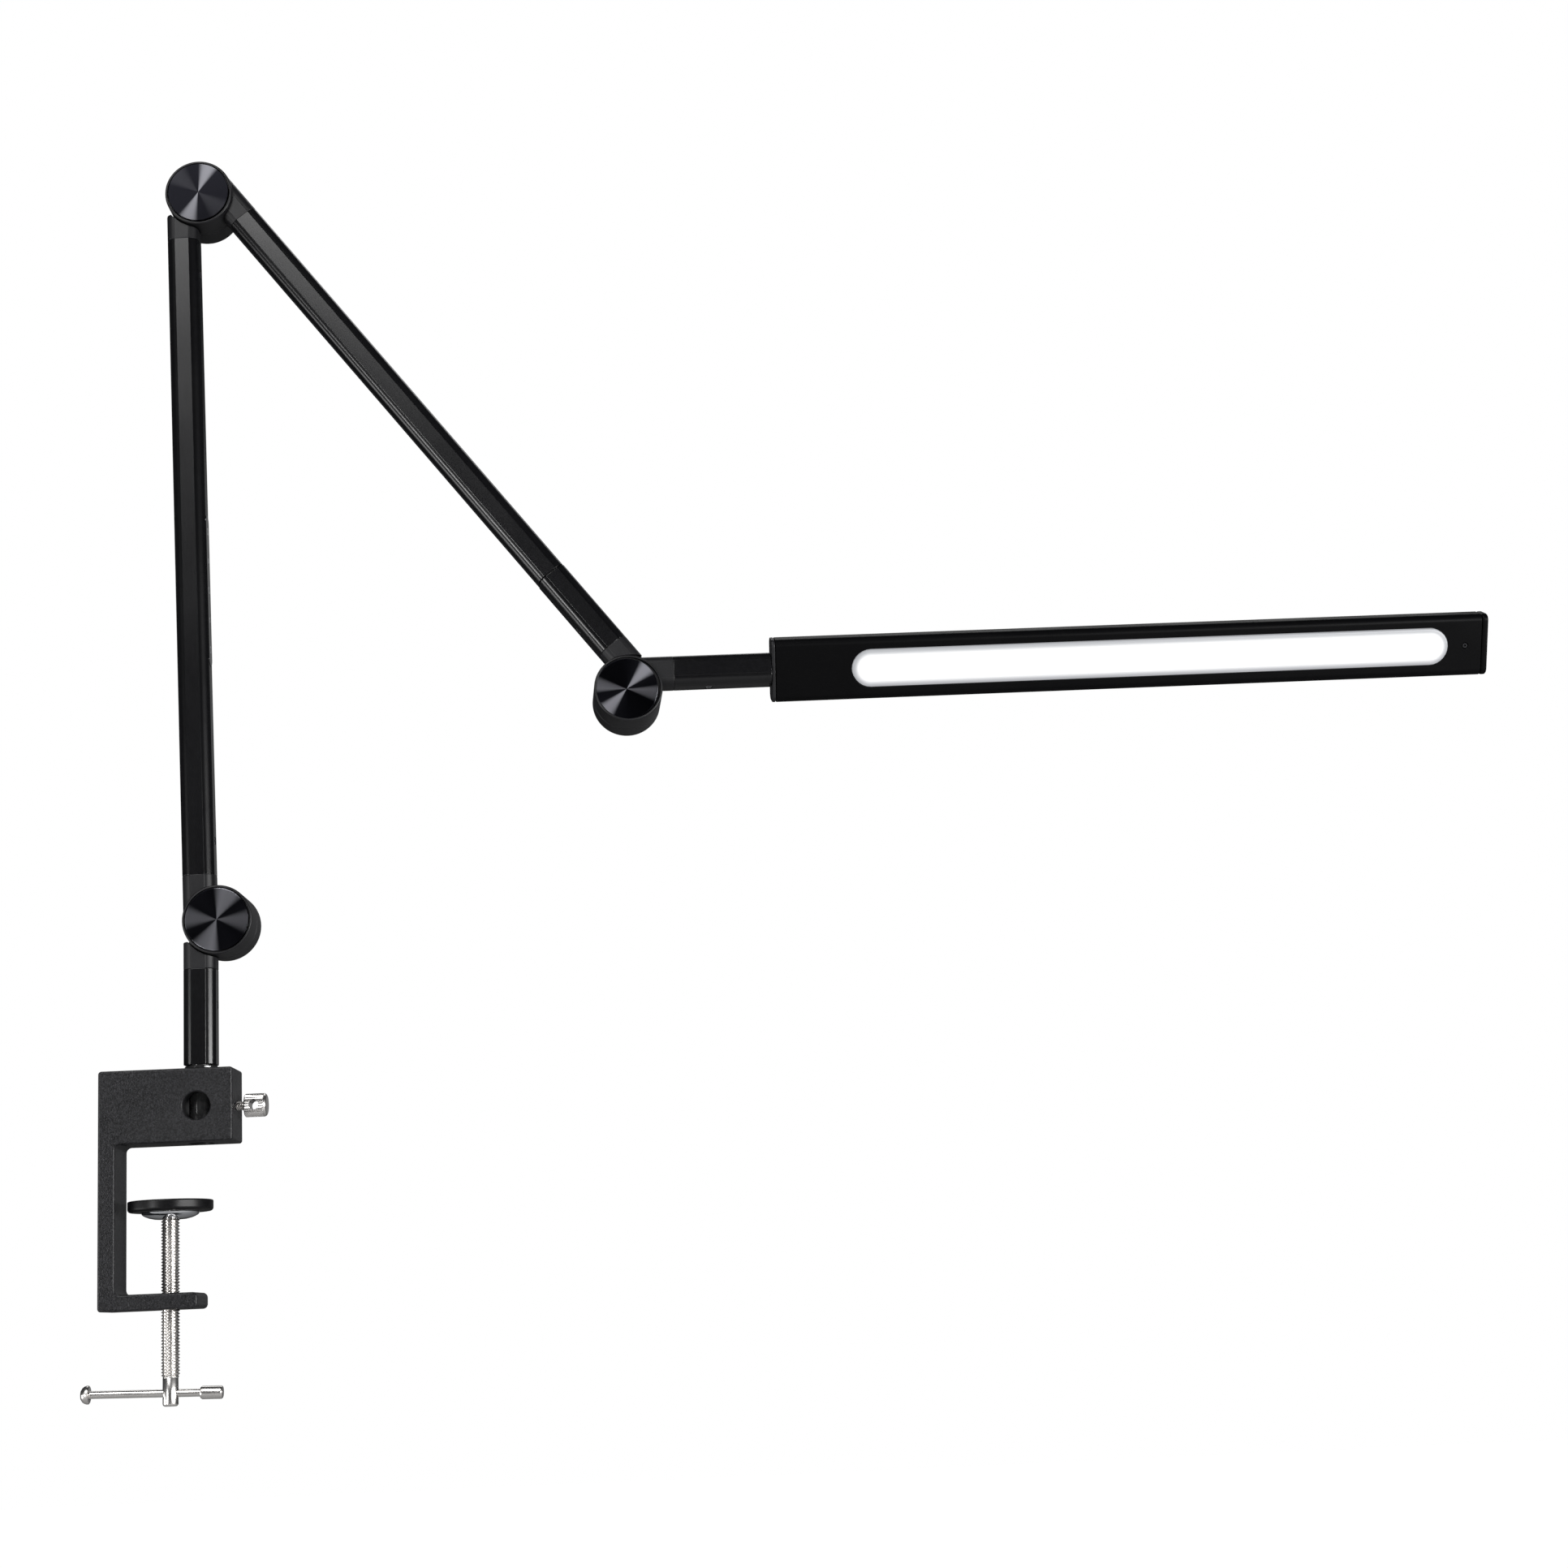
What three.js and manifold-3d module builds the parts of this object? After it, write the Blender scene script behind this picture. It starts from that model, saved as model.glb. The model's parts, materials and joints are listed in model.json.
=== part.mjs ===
// Architect desk lamp on a screw clamp: a swivelling pole, two arms, a twisting wrist and a rolling LED head.
// Millimetres, +Z up, +X towards the head, -Y the front. The origin is on the clamp's seat, where it rests on the
// desk's top, straight above the clamp spindle.
import * as THREE from "three";
import { mergeVertices } from "three/addons/utils/BufferGeometryUtils.js";
import Module from "manifold-3d";

const wasm = await Module();
wasm.setup();

// Square tube and its fittings
const GAP = 0.3;
const TUBE = 13.4;
const TUBE_CORNER = 3.8;
const WALL = 1.6;
const PLUG = TUBE - 2 * WALL - 2 * GAP;
const PLUG_CORNER = 1.9;
const PLUG_END = 40;
const SET_SCREW_AT = 34.5;
const SET_SCREW_R = 1.4;
const SET_SCREW_LENGTH = 2.4;
const WIRE_R = 1.1;

// Friction hinges: a front half and a back half on one bolt, with the arms tangent to the drum
const HINGE_R = 14.4;
const ARM_OFFSET = 8.1;
const FRONT_FACE = -8.6;
const SPLIT = 4.6;
const BACK_FACE = 15;
const SEAM = 19.7;
const NECKING = 8.5;
const SHOULDER = 7;
const ARM_STOP = 40;
const HEAD_STOP = 55;
const CAP_R = 13.1;
const CAP_PROUD = 0.4;
const CAP_DEEP = 0.7;
const BOLT_R = 2.45;
const DRUM_SIDES = 32;
const BOLT_HEAD_R = 4.4;
const BOLT_HEAD = [-7.1, -2.6];
const BOLT_END = 13;
const NUT = [9.7, 13.3];
const WASHER_R = 8.9;
const WASHER_THICK = 0.7;

// The arms, measured between hinge centres, and how they stand at rest
const POLE_X = 12.7;
const BASE_HINGE = [POLE_X + ARM_OFFSET, 0, 90.95];
const LOWER_ARM = 319.3;
const LOWER_LEAN = -1.21;
const UPPER_ARM = 290.4;
const UPPER_LEAN = 142.01;
const WRIST_SEAM = 229.8;
const WRIST_TWIST = -6.3;
const HEAD_LEAN = 88.68;
const WRIST_JOURNAL_R = 4.2;
const BUSH = [231, 245];

// Clamp: a C frame with a bored block, a stem, a lock screw and a spindle with a tommy bar
const CLAMP_LEFT = -27.1;
const CLAMP_RIGHT = 27.35;
const CLAMP_DEPTH = 23.4;
const BLOCK_TOP = 29.9;
const SPINE_FACE = -20.2;
const JAW = [-66.5, -60];
const JAW_END = 13;
const STEM_R = 5;
const CROSS_BORE_R = 5.75;
const LOCK_Z = 14.6;
const POLE_FOOT = 31.8;
const LOCK_SCREW_R = 1.9;
const KNOB = [30.6, 39.7];
const KNOB_R = 4.8;
const TOMMY_HOLE_R = 2;
const PAD_R = 17.2;
const PAD = [-27.3, -22.8];
const SPINDLE_R = 3.7;
const SPINDLE_TAIL_R = 3.15;
const THREAD_END = -93.8;
const SPINDLE_END = -104.7;
const BAR_Z = -99.5;
const BAR_TILT = 1.2;
const BAR_R = 1.55;
const BAR_END = [-36.1, 21.1];
const BAR_FLANGE_R = 3.7;
const BAR_SLEEVE_R = 2.65;
const BAR_SLEEVE_LENGTH = 9;

// Touch panel on the lower arm, and the LED head
const TOUCH = [109.6, 175.8];
const TOUCH_WIDTH = 6.2;
const HEAD = [61.4, 375.5];
const HEAD_WIDTH = 27;
const HEAD_THICK = 11;
const HEAD_CORNER = 3;
const HEAD_ROLL = 28;
const END_PLATE = 1.6;
const END_CAP = 3;
const WINDOW = [95.5, 357.8];
const WINDOW_WIDTH = 16.6;
const POCKET_DEEP = 5;
const NECK_JOURNAL_R = 3.2;

const finishes = {
  tube: { color: 0x17181a, roughness: 0.42, metalness: 0.85 },
  casting: { color: 0x2b2c2e, roughness: 0.62, metalness: 0.4 },
  cap: { color: 0x1d1e20, roughness: 0.3, metalness: 0.95 },
  steel: { color: 0xb9bcc0, roughness: 0.25, metalness: 1 },
  powder: { color: 0x26272a, roughness: 0.8, metalness: 0.2 },
  nickel: { color: 0xc9cacc, roughness: 0.18, metalness: 1 },
  chrome: { color: 0xe2e4e6, roughness: 0.06, metalness: 1 },
  gloss: { color: 0x0b0b0c, roughness: 0.12, metalness: 0.3 },
  rubber: { color: 0x141415, roughness: 0.75, metalness: 0 },
  nylon: { color: 0xd9d5c8, roughness: 0.5, metalness: 0 },
  bronze: { color: 0xa97a4a, roughness: 0.4, metalness: 1 },
  glass: { color: 0x0a0b0d, roughness: 0.1, metalness: 0 },
  board: { color: 0xdfe3e0, roughness: 0.6, metalness: 0 },
  light: { color: 0xffffff, roughness: 0.35, metalness: 0 },
  wire: { color: 0x1a1a1a, roughness: 0.6, metalness: 0 },
};
const materials = {};
for (const [name, look] of Object.entries(finishes)) {
  materials[name] = new THREE.MeshStandardMaterial(look);
}

// ---- solids ----

function toSolid(geometry) {
  const bare = geometry.clone();
  bare.deleteAttribute("normal");
  bare.deleteAttribute("uv");
  const merged = mergeVertices(bare, 1e-4);
  return new wasm.Manifold(new wasm.Mesh({
    numProp: 3,
    vertProperties: new Float32Array(merged.attributes.position.array),
    triVerts: new Uint32Array(merged.index.array),
  }));
}

function toGeometry(solid) {
  const mesh = solid.getMesh();
  const geometry = new THREE.BufferGeometry();
  geometry.setAttribute("position", new THREE.BufferAttribute(mesh.vertProperties, 3));
  geometry.setIndex(new THREE.BufferAttribute(mesh.triVerts, 1));
  geometry.computeVertexNormals();
  return geometry;
}

function join(...geometries) {
  return toGeometry(geometries.map(toSolid).reduce((sum, piece) => sum.add(piece)));
}

function cut(geometry, ...tools) {
  return toGeometry(tools.map(toSolid).reduce((rest, tool) => rest.subtract(tool), toSolid(geometry)));
}

// A rod or disc along an axis between two places on it, centred on the two other coordinates
function rod(axis, radius, from, to, centre = [0, 0], sides = 14) {
  const geometry = new THREE.CylinderGeometry(radius, radius, to - from, sides);
  const middle = (from + to) / 2;
  if (axis === "x") {
    return geometry.rotateZ(-Math.PI / 2).translate(middle, ...centre);
  }
  if (axis === "y") {
    return geometry.translate(centre[0], middle, centre[1]);
  }
  return geometry.rotateX(Math.PI / 2).translate(...centre, middle);
}

function block(x, y, z) {
  return new THREE.BoxGeometry(x[1] - x[0], y[1] - y[0], z[1] - z[0])
    .translate((x[0] + x[1]) / 2, (y[0] + y[1]) / 2, (z[0] + z[1]) / 2);
}

function roundedOutline(width, height, corner, Outline = THREE.Shape) {
  const x = width / 2 - corner;
  const y = height / 2 - corner;
  const outline = new Outline();
  outline.moveTo(x + corner, -y);
  outline.absarc(x, y, corner, 0, Math.PI / 2);
  outline.absarc(-x, y, corner, Math.PI / 2, Math.PI);
  outline.absarc(-x, -y, corner, Math.PI, 1.5 * Math.PI);
  outline.absarc(x, -y, corner, 1.5 * Math.PI, 2 * Math.PI);
  return outline;
}

function extrude(outline, from, to, curveSegments = 3) {
  return new THREE.ExtrudeGeometry(outline, { depth: to - from, bevelEnabled: false, curveSegments })
    .translate(0, 0, from);
}

// A bar of rounded rectangular section along Z, its centreline on the arm's own line
function armBar(width, corner, from, to) {
  return extrude(roundedOutline(width, width, corner), from, to).translate(-ARM_OFFSET, 0, 0);
}

// A turned piece: [radius, height] points about Z, closed on the axis or on itself
function turned(points, sides = 24) {
  return new THREE.LatheGeometry(points.map(([r, z]) => new THREE.Vector2(r, z)), sides).rotateX(Math.PI / 2);
}

function arc(centre, radius, from, to, steps) {
  const points = [];
  for (let i = 0; i <= steps; i++) {
    const angle = THREE.MathUtils.degToRad(from + (to - from) * i / steps);
    points.push([centre[0] + radius * Math.cos(angle), centre[1] + radius * Math.sin(angle)]);
  }
  return points;
}

function add(group, name, geometry, finish) {
  const mesh = new THREE.Mesh(geometry, materials[finish]);
  mesh.name = name;
  group.add(mesh);
}

// ---- hinge pieces, in a frame with the hinge axis on Y and the arm along Z ----

const boltBore = rod("y", BOLT_R + GAP, -20, 20, [0, 0], 24);

function setScrewHole(z) {
  return rod("x", SET_SCREW_R + GAP, -ARM_OFFSET + 2, 0, [0, z], 12);
}

function wireBore(from, to) {
  return rod("z", WIRE_R + GAP, from, to, [-ARM_OFFSET, 0], 10);
}

// The half with the arm leaving along +Z
function frontBracket() {
  const drum = rod("y", HINGE_R, FRONT_FACE, SPLIT - GAP / 2, [0, 0], DRUM_SIDES);
  const strip = cut(
    armBar(TUBE, TUBE_CORNER, 0, SEAM),
    block([-20, 5], [SPLIT - GAP / 2, 10], [-1, NECKING]),
    rod("y", HINGE_R + 2 * GAP, SPLIT - GAP / 2, 20, [0, 0], DRUM_SIDES),
    rod("y", HINGE_R - 1, -20, FRONT_FACE + 2, [0, 0], 32),
  );
  return cut(
    join(drum, strip, armBar(PLUG, PLUG_CORNER, SEAM - 1, PLUG_END)),
    rod("y", CAP_R + GAP, -20, FRONT_FACE + CAP_DEEP + GAP, [0, 0], DRUM_SIDES),
    rod("y", BOLT_HEAD_R + GAP, -20, BOLT_HEAD[1] + GAP, [0, 0], 20),
    boltBore,
    setScrewHole(SET_SCREW_AT),
    wireBore(SEAM + 4, PLUG_END + 1),
  );
}

// The half with the arm leaving along -Z, cut back where the front half's arm swings to its stop
function backBracket(stopAngle) {
  const drum = rod("y", HINGE_R, SPLIT + GAP / 2, BACK_FACE, [0, 0], DRUM_SIDES);
  const front = cut(armBar(TUBE, TUBE_CORNER, -SEAM, -NECKING),
    rod("y", HINGE_R + 2 * GAP, -20, SPLIT + GAP / 2, [0, 0], DRUM_SIDES));
  const rear = cut(armBar(TUBE, TUBE_CORNER, -SEAM, -SHOULDER),
    block([-20, 5], [-10, SPLIT + GAP / 2], [-SEAM - 1, 0]));
  const gussetSide = new THREE.Shape([[6, -SEAM + 1], [BACK_FACE, -NECKING - 3], [BACK_FACE, -4], [6, -4]]
    .map(([y, z]) => new THREE.Vector2(y, z)));
  const gusset = new THREE.ExtrudeGeometry(gussetSide, { depth: TUBE - 4, bevelEnabled: false })
    .rotateY(Math.PI / 2).rotateX(Math.PI / 2)
    .translate(-ARM_OFFSET - TUBE / 2 + 2, 0, 0);
  const outside = -ARM_OFFSET - TUBE / 2 - GAP;
  const swing = join(
    block([outside, outside + TUBE], [-20, SPLIT + GAP / 2], [0, SEAM + 5]),
    block([outside, outside + TUBE], [SPLIT, TUBE / 2 + GAP], [NECKING - GAP, SEAM + 5]),
  );
  const stop = cut(swing, rod("y", HINGE_R, -20, 20, [0, 0], 32))
    .rotateY(-THREE.MathUtils.degToRad(stopAngle));
  return cut(
    join(drum, front, rear, gusset, armBar(PLUG, PLUG_CORNER, -PLUG_END, -SEAM + 1)),
    stop,
    rod("y", CAP_R + GAP, BACK_FACE - CAP_DEEP - GAP, 20, [0, 0], DRUM_SIDES),
    rod("y", BOLT_HEAD_R + 2 * GAP, NUT[0] - GAP, 20, [0, 0], 20),
    rod("y", WASHER_R + GAP, -20, SPLIT + GAP / 2 + WASHER_THICK + GAP, [0, 0], 28),
    boltBore,
    setScrewHole(-SET_SCREW_AT),
    wireBore(-PLUG_END - 1, -SEAM - 4),
  );
}

// A spun disc that fills one face of the drum
function spunCap(back) {
  const top = CAP_PROUD;
  const points = [[0, -CAP_DEEP], [CAP_R, -CAP_DEEP], [CAP_R, top - 0.3], [CAP_R - 0.3, top], [0, top]];
  const disc = turned(points, DRUM_SIDES);
  return back
    ? disc.rotateX(-Math.PI / 2).translate(0, BACK_FACE, 0)
    : disc.rotateX(Math.PI / 2).translate(0, FRONT_FACE, 0);
}

function hingeBolt() {
  const socket = new THREE.CylinderGeometry(2.3, 2.3, 2.4, 6).translate(0, BOLT_HEAD[0] + 1, 0);
  return cut(join(rod("y", BOLT_HEAD_R, ...BOLT_HEAD, [0, 0], 20), rod("y", BOLT_R, BOLT_HEAD[1] - 1, BOLT_END)),
    socket);
}

function hingeNut() {
  return cut(rod("y", BOLT_HEAD_R, ...NUT, [0, 0], 6), boltBore);
}

function frictionWasher() {
  const from = SPLIT + GAP / 2;
  return cut(rod("y", WASHER_R, from, from + WASHER_THICK, [0, 0], 28), boltBore);
}

function setScrew(z) {
  const face = -ARM_OFFSET + TUBE / 2;
  const socket = new THREE.CylinderGeometry(0.75, 0.75, 2.4, 6).rotateZ(Math.PI / 2).translate(face, 0, z);
  return cut(rod("x", SET_SCREW_R, face - 0.2 - SET_SCREW_LENGTH, face - 0.2, [0, z], 12), socket);
}

// A square tube along Z, with its set-screw holes
function tube(from, to, holes) {
  const outline = roundedOutline(TUBE, TUBE, TUBE_CORNER);
  outline.holes.push(roundedOutline(TUBE - 2 * WALL, TUBE - 2 * WALL, TUBE_CORNER - WALL, THREE.Path));
  const body = extrude(outline, from, to).translate(-ARM_OFFSET, 0, 0);
  return cut(body, ...holes.map((z) => rod("x", SET_SCREW_R + GAP, -ARM_OFFSET + 2, 2, [0, z], 12)));
}

// ---- assembly ----

const lamp = new THREE.Group();

function buildClamp(group) {
  const outline = new THREE.Shape([
    [CLAMP_LEFT, JAW[0]], [JAW_END, JAW[0]], [JAW_END, JAW[1]], [SPINE_FACE, JAW[1]],
    [SPINE_FACE, 0], [CLAMP_RIGHT, 0], [CLAMP_RIGHT, BLOCK_TOP], [CLAMP_LEFT, BLOCK_TOP],
  ].map(([x, z]) => new THREE.Vector2(x, z)));
  const frame = extrude(outline, -CLAMP_DEPTH / 2, CLAMP_DEPTH / 2).rotateX(Math.PI / 2);
  add(group, "clamp_body", cut(
    frame,
    rod("z", STEM_R + GAP, -10, 50, [POLE_X, 0], 32),
    rod("y", CROSS_BORE_R, -30, 30, [POLE_X, LOCK_Z], 32),
    rod("x", LOCK_SCREW_R + GAP, POLE_X, 40, [0, LOCK_Z], 16),
    rod("z", SPINDLE_R + GAP, -80, -50, [0, 0], 20),
  ), "powder");
}

function buildLock(group) {
  const stemFace = POLE_X + STEM_R;
  add(group, "lock_tip", rod("x", LOCK_SCREW_R - 0.2, stemFace + GAP, stemFace + 1.9, [0, LOCK_Z], 20), "nylon");
  const knob = turned([[0, 0], [KNOB_R, 0], [KNOB_R, 7.7], ...arc([KNOB_R - 1.4, 7.7], 1.4, 0, 90, 3), [0, 9.1]], 24)
    .rotateY(Math.PI / 2)
    .translate(KNOB[0], 0, LOCK_Z);
  const shank = rod("x", LOCK_SCREW_R, stemFace + 2.2, KNOB[0] + 1, [0, LOCK_Z], 16);
  const tommyHole = rod("y", TOMMY_HOLE_R, -10, 10, [KNOB[0] + 4.1, LOCK_Z], 24);
  add(group, "lock_screw", cut(join(shank, knob), tommyHole), "nickel");
}

function buildSpindle(group) {
  const edge = 1.4;
  add(group, "pad_disc", turned([
    [0, PAD[0]], [PAD_R - edge, PAD[0]], ...arc([PAD_R - edge, PAD[0] + edge], edge, -90, 0, 3),
    [PAD_R, PAD[1] - 0.5], [PAD_R - 0.5, PAD[1]], [0, PAD[1]],
  ], DRUM_SIDES), "rubber");
  add(group, "pad_cup", turned([
    [4.3, -30.3], [8.6, -29.7], [11, -28.6], [11.7, -27.5], [10.7, -27.5],
    [10.2, -28.1], [8, -28.8], [4.3, -29.3], [4.3, -30.3],
  ], 20), "chrome");
  const tail = 1.2;
  const spindle = turned([
    [0, SPINDLE_END], ...arc([SPINDLE_TAIL_R - tail, SPINDLE_END + tail], tail, -90, 0, 3),
    [SPINDLE_TAIL_R, THREAD_END], [SPINDLE_R, THREAD_END + 0.6], [SPINDLE_R, -28.9], [6, -28.5],
    [6, -27.6], [0, -27.6],
  ], 20);
  add(group, "clamp_spindle", cut(spindle, rod("x", BAR_R + GAP, -10, 10, [0, BAR_Z], 20)), "nickel");
}

// The bar lies a little askew in the spindle's cross hole, whose centre is its frame's origin
function buildTommyBar(group) {
  const flangeAt = BAR_END[0];
  const flange = turned([
    [0, 0], [2, 0.2], [3.2, 1.1], [BAR_FLANGE_R, 2.2], [BAR_FLANGE_R, 3.8], [0, 3.8],
  ], 20).rotateY(Math.PI / 2).translate(flangeAt, 0, 0);
  add(group, "tommy_bar", join(flange, rod("x", BAR_R, flangeAt + 2, BAR_END[1] - 2)), "nickel");
  const sleeveFrom = BAR_END[1] - BAR_SLEEVE_LENGTH;
  const sleeve = turned([
    [0, 0], [BAR_SLEEVE_R - 0.5, 0], [BAR_SLEEVE_R, 0.5], [BAR_SLEEVE_R, BAR_SLEEVE_LENGTH - 0.6],
    [BAR_SLEEVE_R - 0.6, BAR_SLEEVE_LENGTH], [0, BAR_SLEEVE_LENGTH],
  ], 18).rotateY(Math.PI / 2).translate(sleeveFrom, 0, 0);
  add(group, "tommy_bar_sleeve", cut(sleeve, rod("x", BAR_R + GAP, sleeveFrom - 2, BAR_END[1] - 1.7)), "nickel");
}

// The pole's frame has the base hinge at its origin; the stem stands in the clamp's bore below it
function buildPole(group) {
  const foot = POLE_FOOT - BASE_HINGE[2];
  const top = BLOCK_TOP - BASE_HINGE[2];
  const stemBottom = 0.8 - BASE_HINGE[2];
  const stem = turned([
    [0, stemBottom], [STEM_R - 0.5, stemBottom], [STEM_R, stemBottom + 0.5], [STEM_R, foot + 0.1], [0, foot + 0.1],
  ]).translate(-ARM_OFFSET, 0, 0);
  const inletR = 2.7;
  const inletDeep = 11;
  add(group, "pole_stem", cut(
    join(stem, armBar(PLUG, PLUG_CORNER, foot, foot + 12)),
    rod("z", inletR + GAP, stemBottom - 1, stemBottom + inletDeep, [-ARM_OFFSET, 0], 18),
    wireBore(stemBottom, foot + 13),
  ), "gloss");
  const inlet = cut(
    rod("z", inletR, stemBottom + 0.2, stemBottom + inletDeep - 0.5, [-ARM_OFFSET, 0], 18),
    rod("z", 1.9, stemBottom - 1, stemBottom + 9, [-ARM_OFFSET, 0], 12),
  );
  const pin = rod("z", 0.6, stemBottom + 2, stemBottom + 9.5, [-ARM_OFFSET, 0], 12);
  add(group, "power_inlet", join(inlet, pin), "steel");
  const collar = turned([[STEM_R + GAP, 0], [6.4, 0], [6.7, 0.3], [6.7, 0.9], [6.4, 1.2], [STEM_R + GAP, 1.2],
    [STEM_R + GAP, 0]], 20);
  add(group, "pole_collar", collar.translate(-ARM_OFFSET, 0, top + GAP), "gloss");
  add(group, "pole_tube", tube(foot, -SEAM, [-SET_SCREW_AT]), "tube");
  add(group, "pole_bracket", backBracket(ARM_STOP), "casting");
  add(group, "pole_set_screw", setScrew(-SET_SCREW_AT), "steel");
  add(group, "pole_wire", rod("z", WIRE_R, foot + 1, -SEAM - 5, [-ARM_OFFSET, 0], 10), "wire");
}

// Everything that one hinge's child carries: the bolt with its nut, and the front cap
function addHinge(group, name, parentGroup) {
  add(group, `${name}_front_cap`, spunCap(false), "cap");
  add(group, `${name}_bolt`, hingeBolt(), "steel");
  add(group, `${name}_nut`, hingeNut(), "steel");
  add(group, `${name}_friction_washer`, frictionWasher(), "nylon");
  add(parentGroup, `${name}_back_cap`, spunCap(true), "cap");
}

function touchOutline(width, length) {
  return roundedOutline(width, length, width / 2 - 0.01);
}

function touchPlate(grow, from, to) {
  const length = TOUCH[1] - TOUCH[0];
  const face = -ARM_OFFSET + TUBE / 2;
  return extrude(touchOutline(TOUCH_WIDTH + 2 * grow, length + 2 * grow), from, to, 8)
    .rotateX(Math.PI / 2).rotateZ(Math.PI / 2)
    .translate(face, 0, (TOUCH[0] + TOUCH[1]) / 2);
}

function buildLowerArm(group, elbow) {
  add(group, "lower_arm_base_bracket", frontBracket(), "casting");
  const body = tube(SEAM, LOWER_ARM - SEAM, [SET_SCREW_AT, LOWER_ARM - SET_SCREW_AT]);
  add(group, "lower_arm_tube", cut(body, touchPlate(GAP, -4, 4)), "tube");
  add(group, "touch_panel", touchPlate(0, -1.4, 0.2), "glass");
  const face = -ARM_OFFSET + TUBE / 2;
  add(group, "control_board", block([face - 3.2, face - 2.2], [-2.6, 2.6], [TOUCH[0] + 1, TOUCH[1] - 1]), "board");
  add(group, "lower_arm_base_set_screw", setScrew(SET_SCREW_AT), "steel");
  add(group, "lower_arm_top_set_screw", setScrew(LOWER_ARM - SET_SCREW_AT), "steel");
  add(group, "lower_arm_wire",
    rod("z", WIRE_R, SEAM + 5, LOWER_ARM - SEAM - 5, [-ARM_OFFSET - 0.2, 0], 10), "wire");
  add(elbow, "lower_arm_top_bracket", backBracket(ARM_STOP), "casting");
}

function buildUpperArm(group) {
  add(group, "upper_arm_top_bracket", frontBracket(), "casting");
  add(group, "upper_arm_tube", tube(SEAM, WRIST_SEAM - GAP / 2, [SET_SCREW_AT]), "tube");
  add(group, "upper_arm_set_screw", setScrew(SET_SCREW_AT), "steel");
  const plug = armBar(PLUG, PLUG_CORNER, WRIST_SEAM - 18, WRIST_SEAM - 0.5);
  const journal = rod("z", WRIST_JOURNAL_R, WRIST_SEAM - 1, BUSH[1] + 2, [-ARM_OFFSET, 0], 18);
  add(group, "wrist_spigot", cut(join(plug, journal), wireBore(WRIST_SEAM - 19, BUSH[1] + 3)), "steel");
  add(group, "upper_arm_wire", rod("z", WIRE_R, SEAM + 5, BUSH[1], [-ARM_OFFSET, 0], 10), "wire");
}

// The wrist's frame has the head hinge at its origin
function buildWrist(group) {
  const seam = WRIST_SEAM - UPPER_ARM;
  add(group, "wrist_tube", tube(seam + GAP / 2, -SEAM, [-SET_SCREW_AT]), "tube");
  const bush = armBar(PLUG, PLUG_CORNER, BUSH[0] - UPPER_ARM, BUSH[1] - UPPER_ARM);
  add(group, "wrist_bush",
    cut(bush, rod("z", WRIST_JOURNAL_R + GAP, seam - 1, -PLUG_END, [-ARM_OFFSET, 0], 18)), "bronze");
  add(group, "wrist_bracket", backBracket(HEAD_STOP), "casting");
  add(group, "wrist_set_screw", setScrew(-SET_SCREW_AT), "steel");
}

function buildNeck(group) {
  add(group, "neck_bracket", frontBracket(), "casting");
  add(group, "neck_tube", tube(SEAM, HEAD[0] - GAP, [SET_SCREW_AT]), "tube");
  add(group, "neck_set_screw", setScrew(SET_SCREW_AT), "steel");
  const plug = armBar(PLUG, PLUG_CORNER, PLUG_END + 1, HEAD[0] - 1);
  const journal = rod("z", NECK_JOURNAL_R, HEAD[0] - 2, HEAD[0] + 14, [-ARM_OFFSET, 0], 16);
  const flange = rod("z", NECK_JOURNAL_R + 1.2, HEAD[0] + 12, HEAD[0] + 14, [-ARM_OFFSET, 0], 16);
  add(group, "neck_spigot", cut(join(plug, journal, flange), wireBore(PLUG_END, HEAD[0] + 15)), "steel");
  add(group, "neck_wire", rod("z", WIRE_R, SEAM + 5, HEAD[0] + 13, [-ARM_OFFSET, 0], 10), "wire");
}

// A stadium lying on the head's front face, between two heights along the face's outward normal
function stadium(width, grow, from, to, steps = 6) {
  const outline = roundedOutline(width + 2 * grow, WINDOW[1] - WINDOW[0] + 2 * grow, width / 2 + grow - 0.01);
  return extrude(outline, from, to, steps)
    .rotateX(Math.PI / 2)
    .translate(0, 0, (WINDOW[0] + WINDOW[1]) / 2);
}

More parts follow.
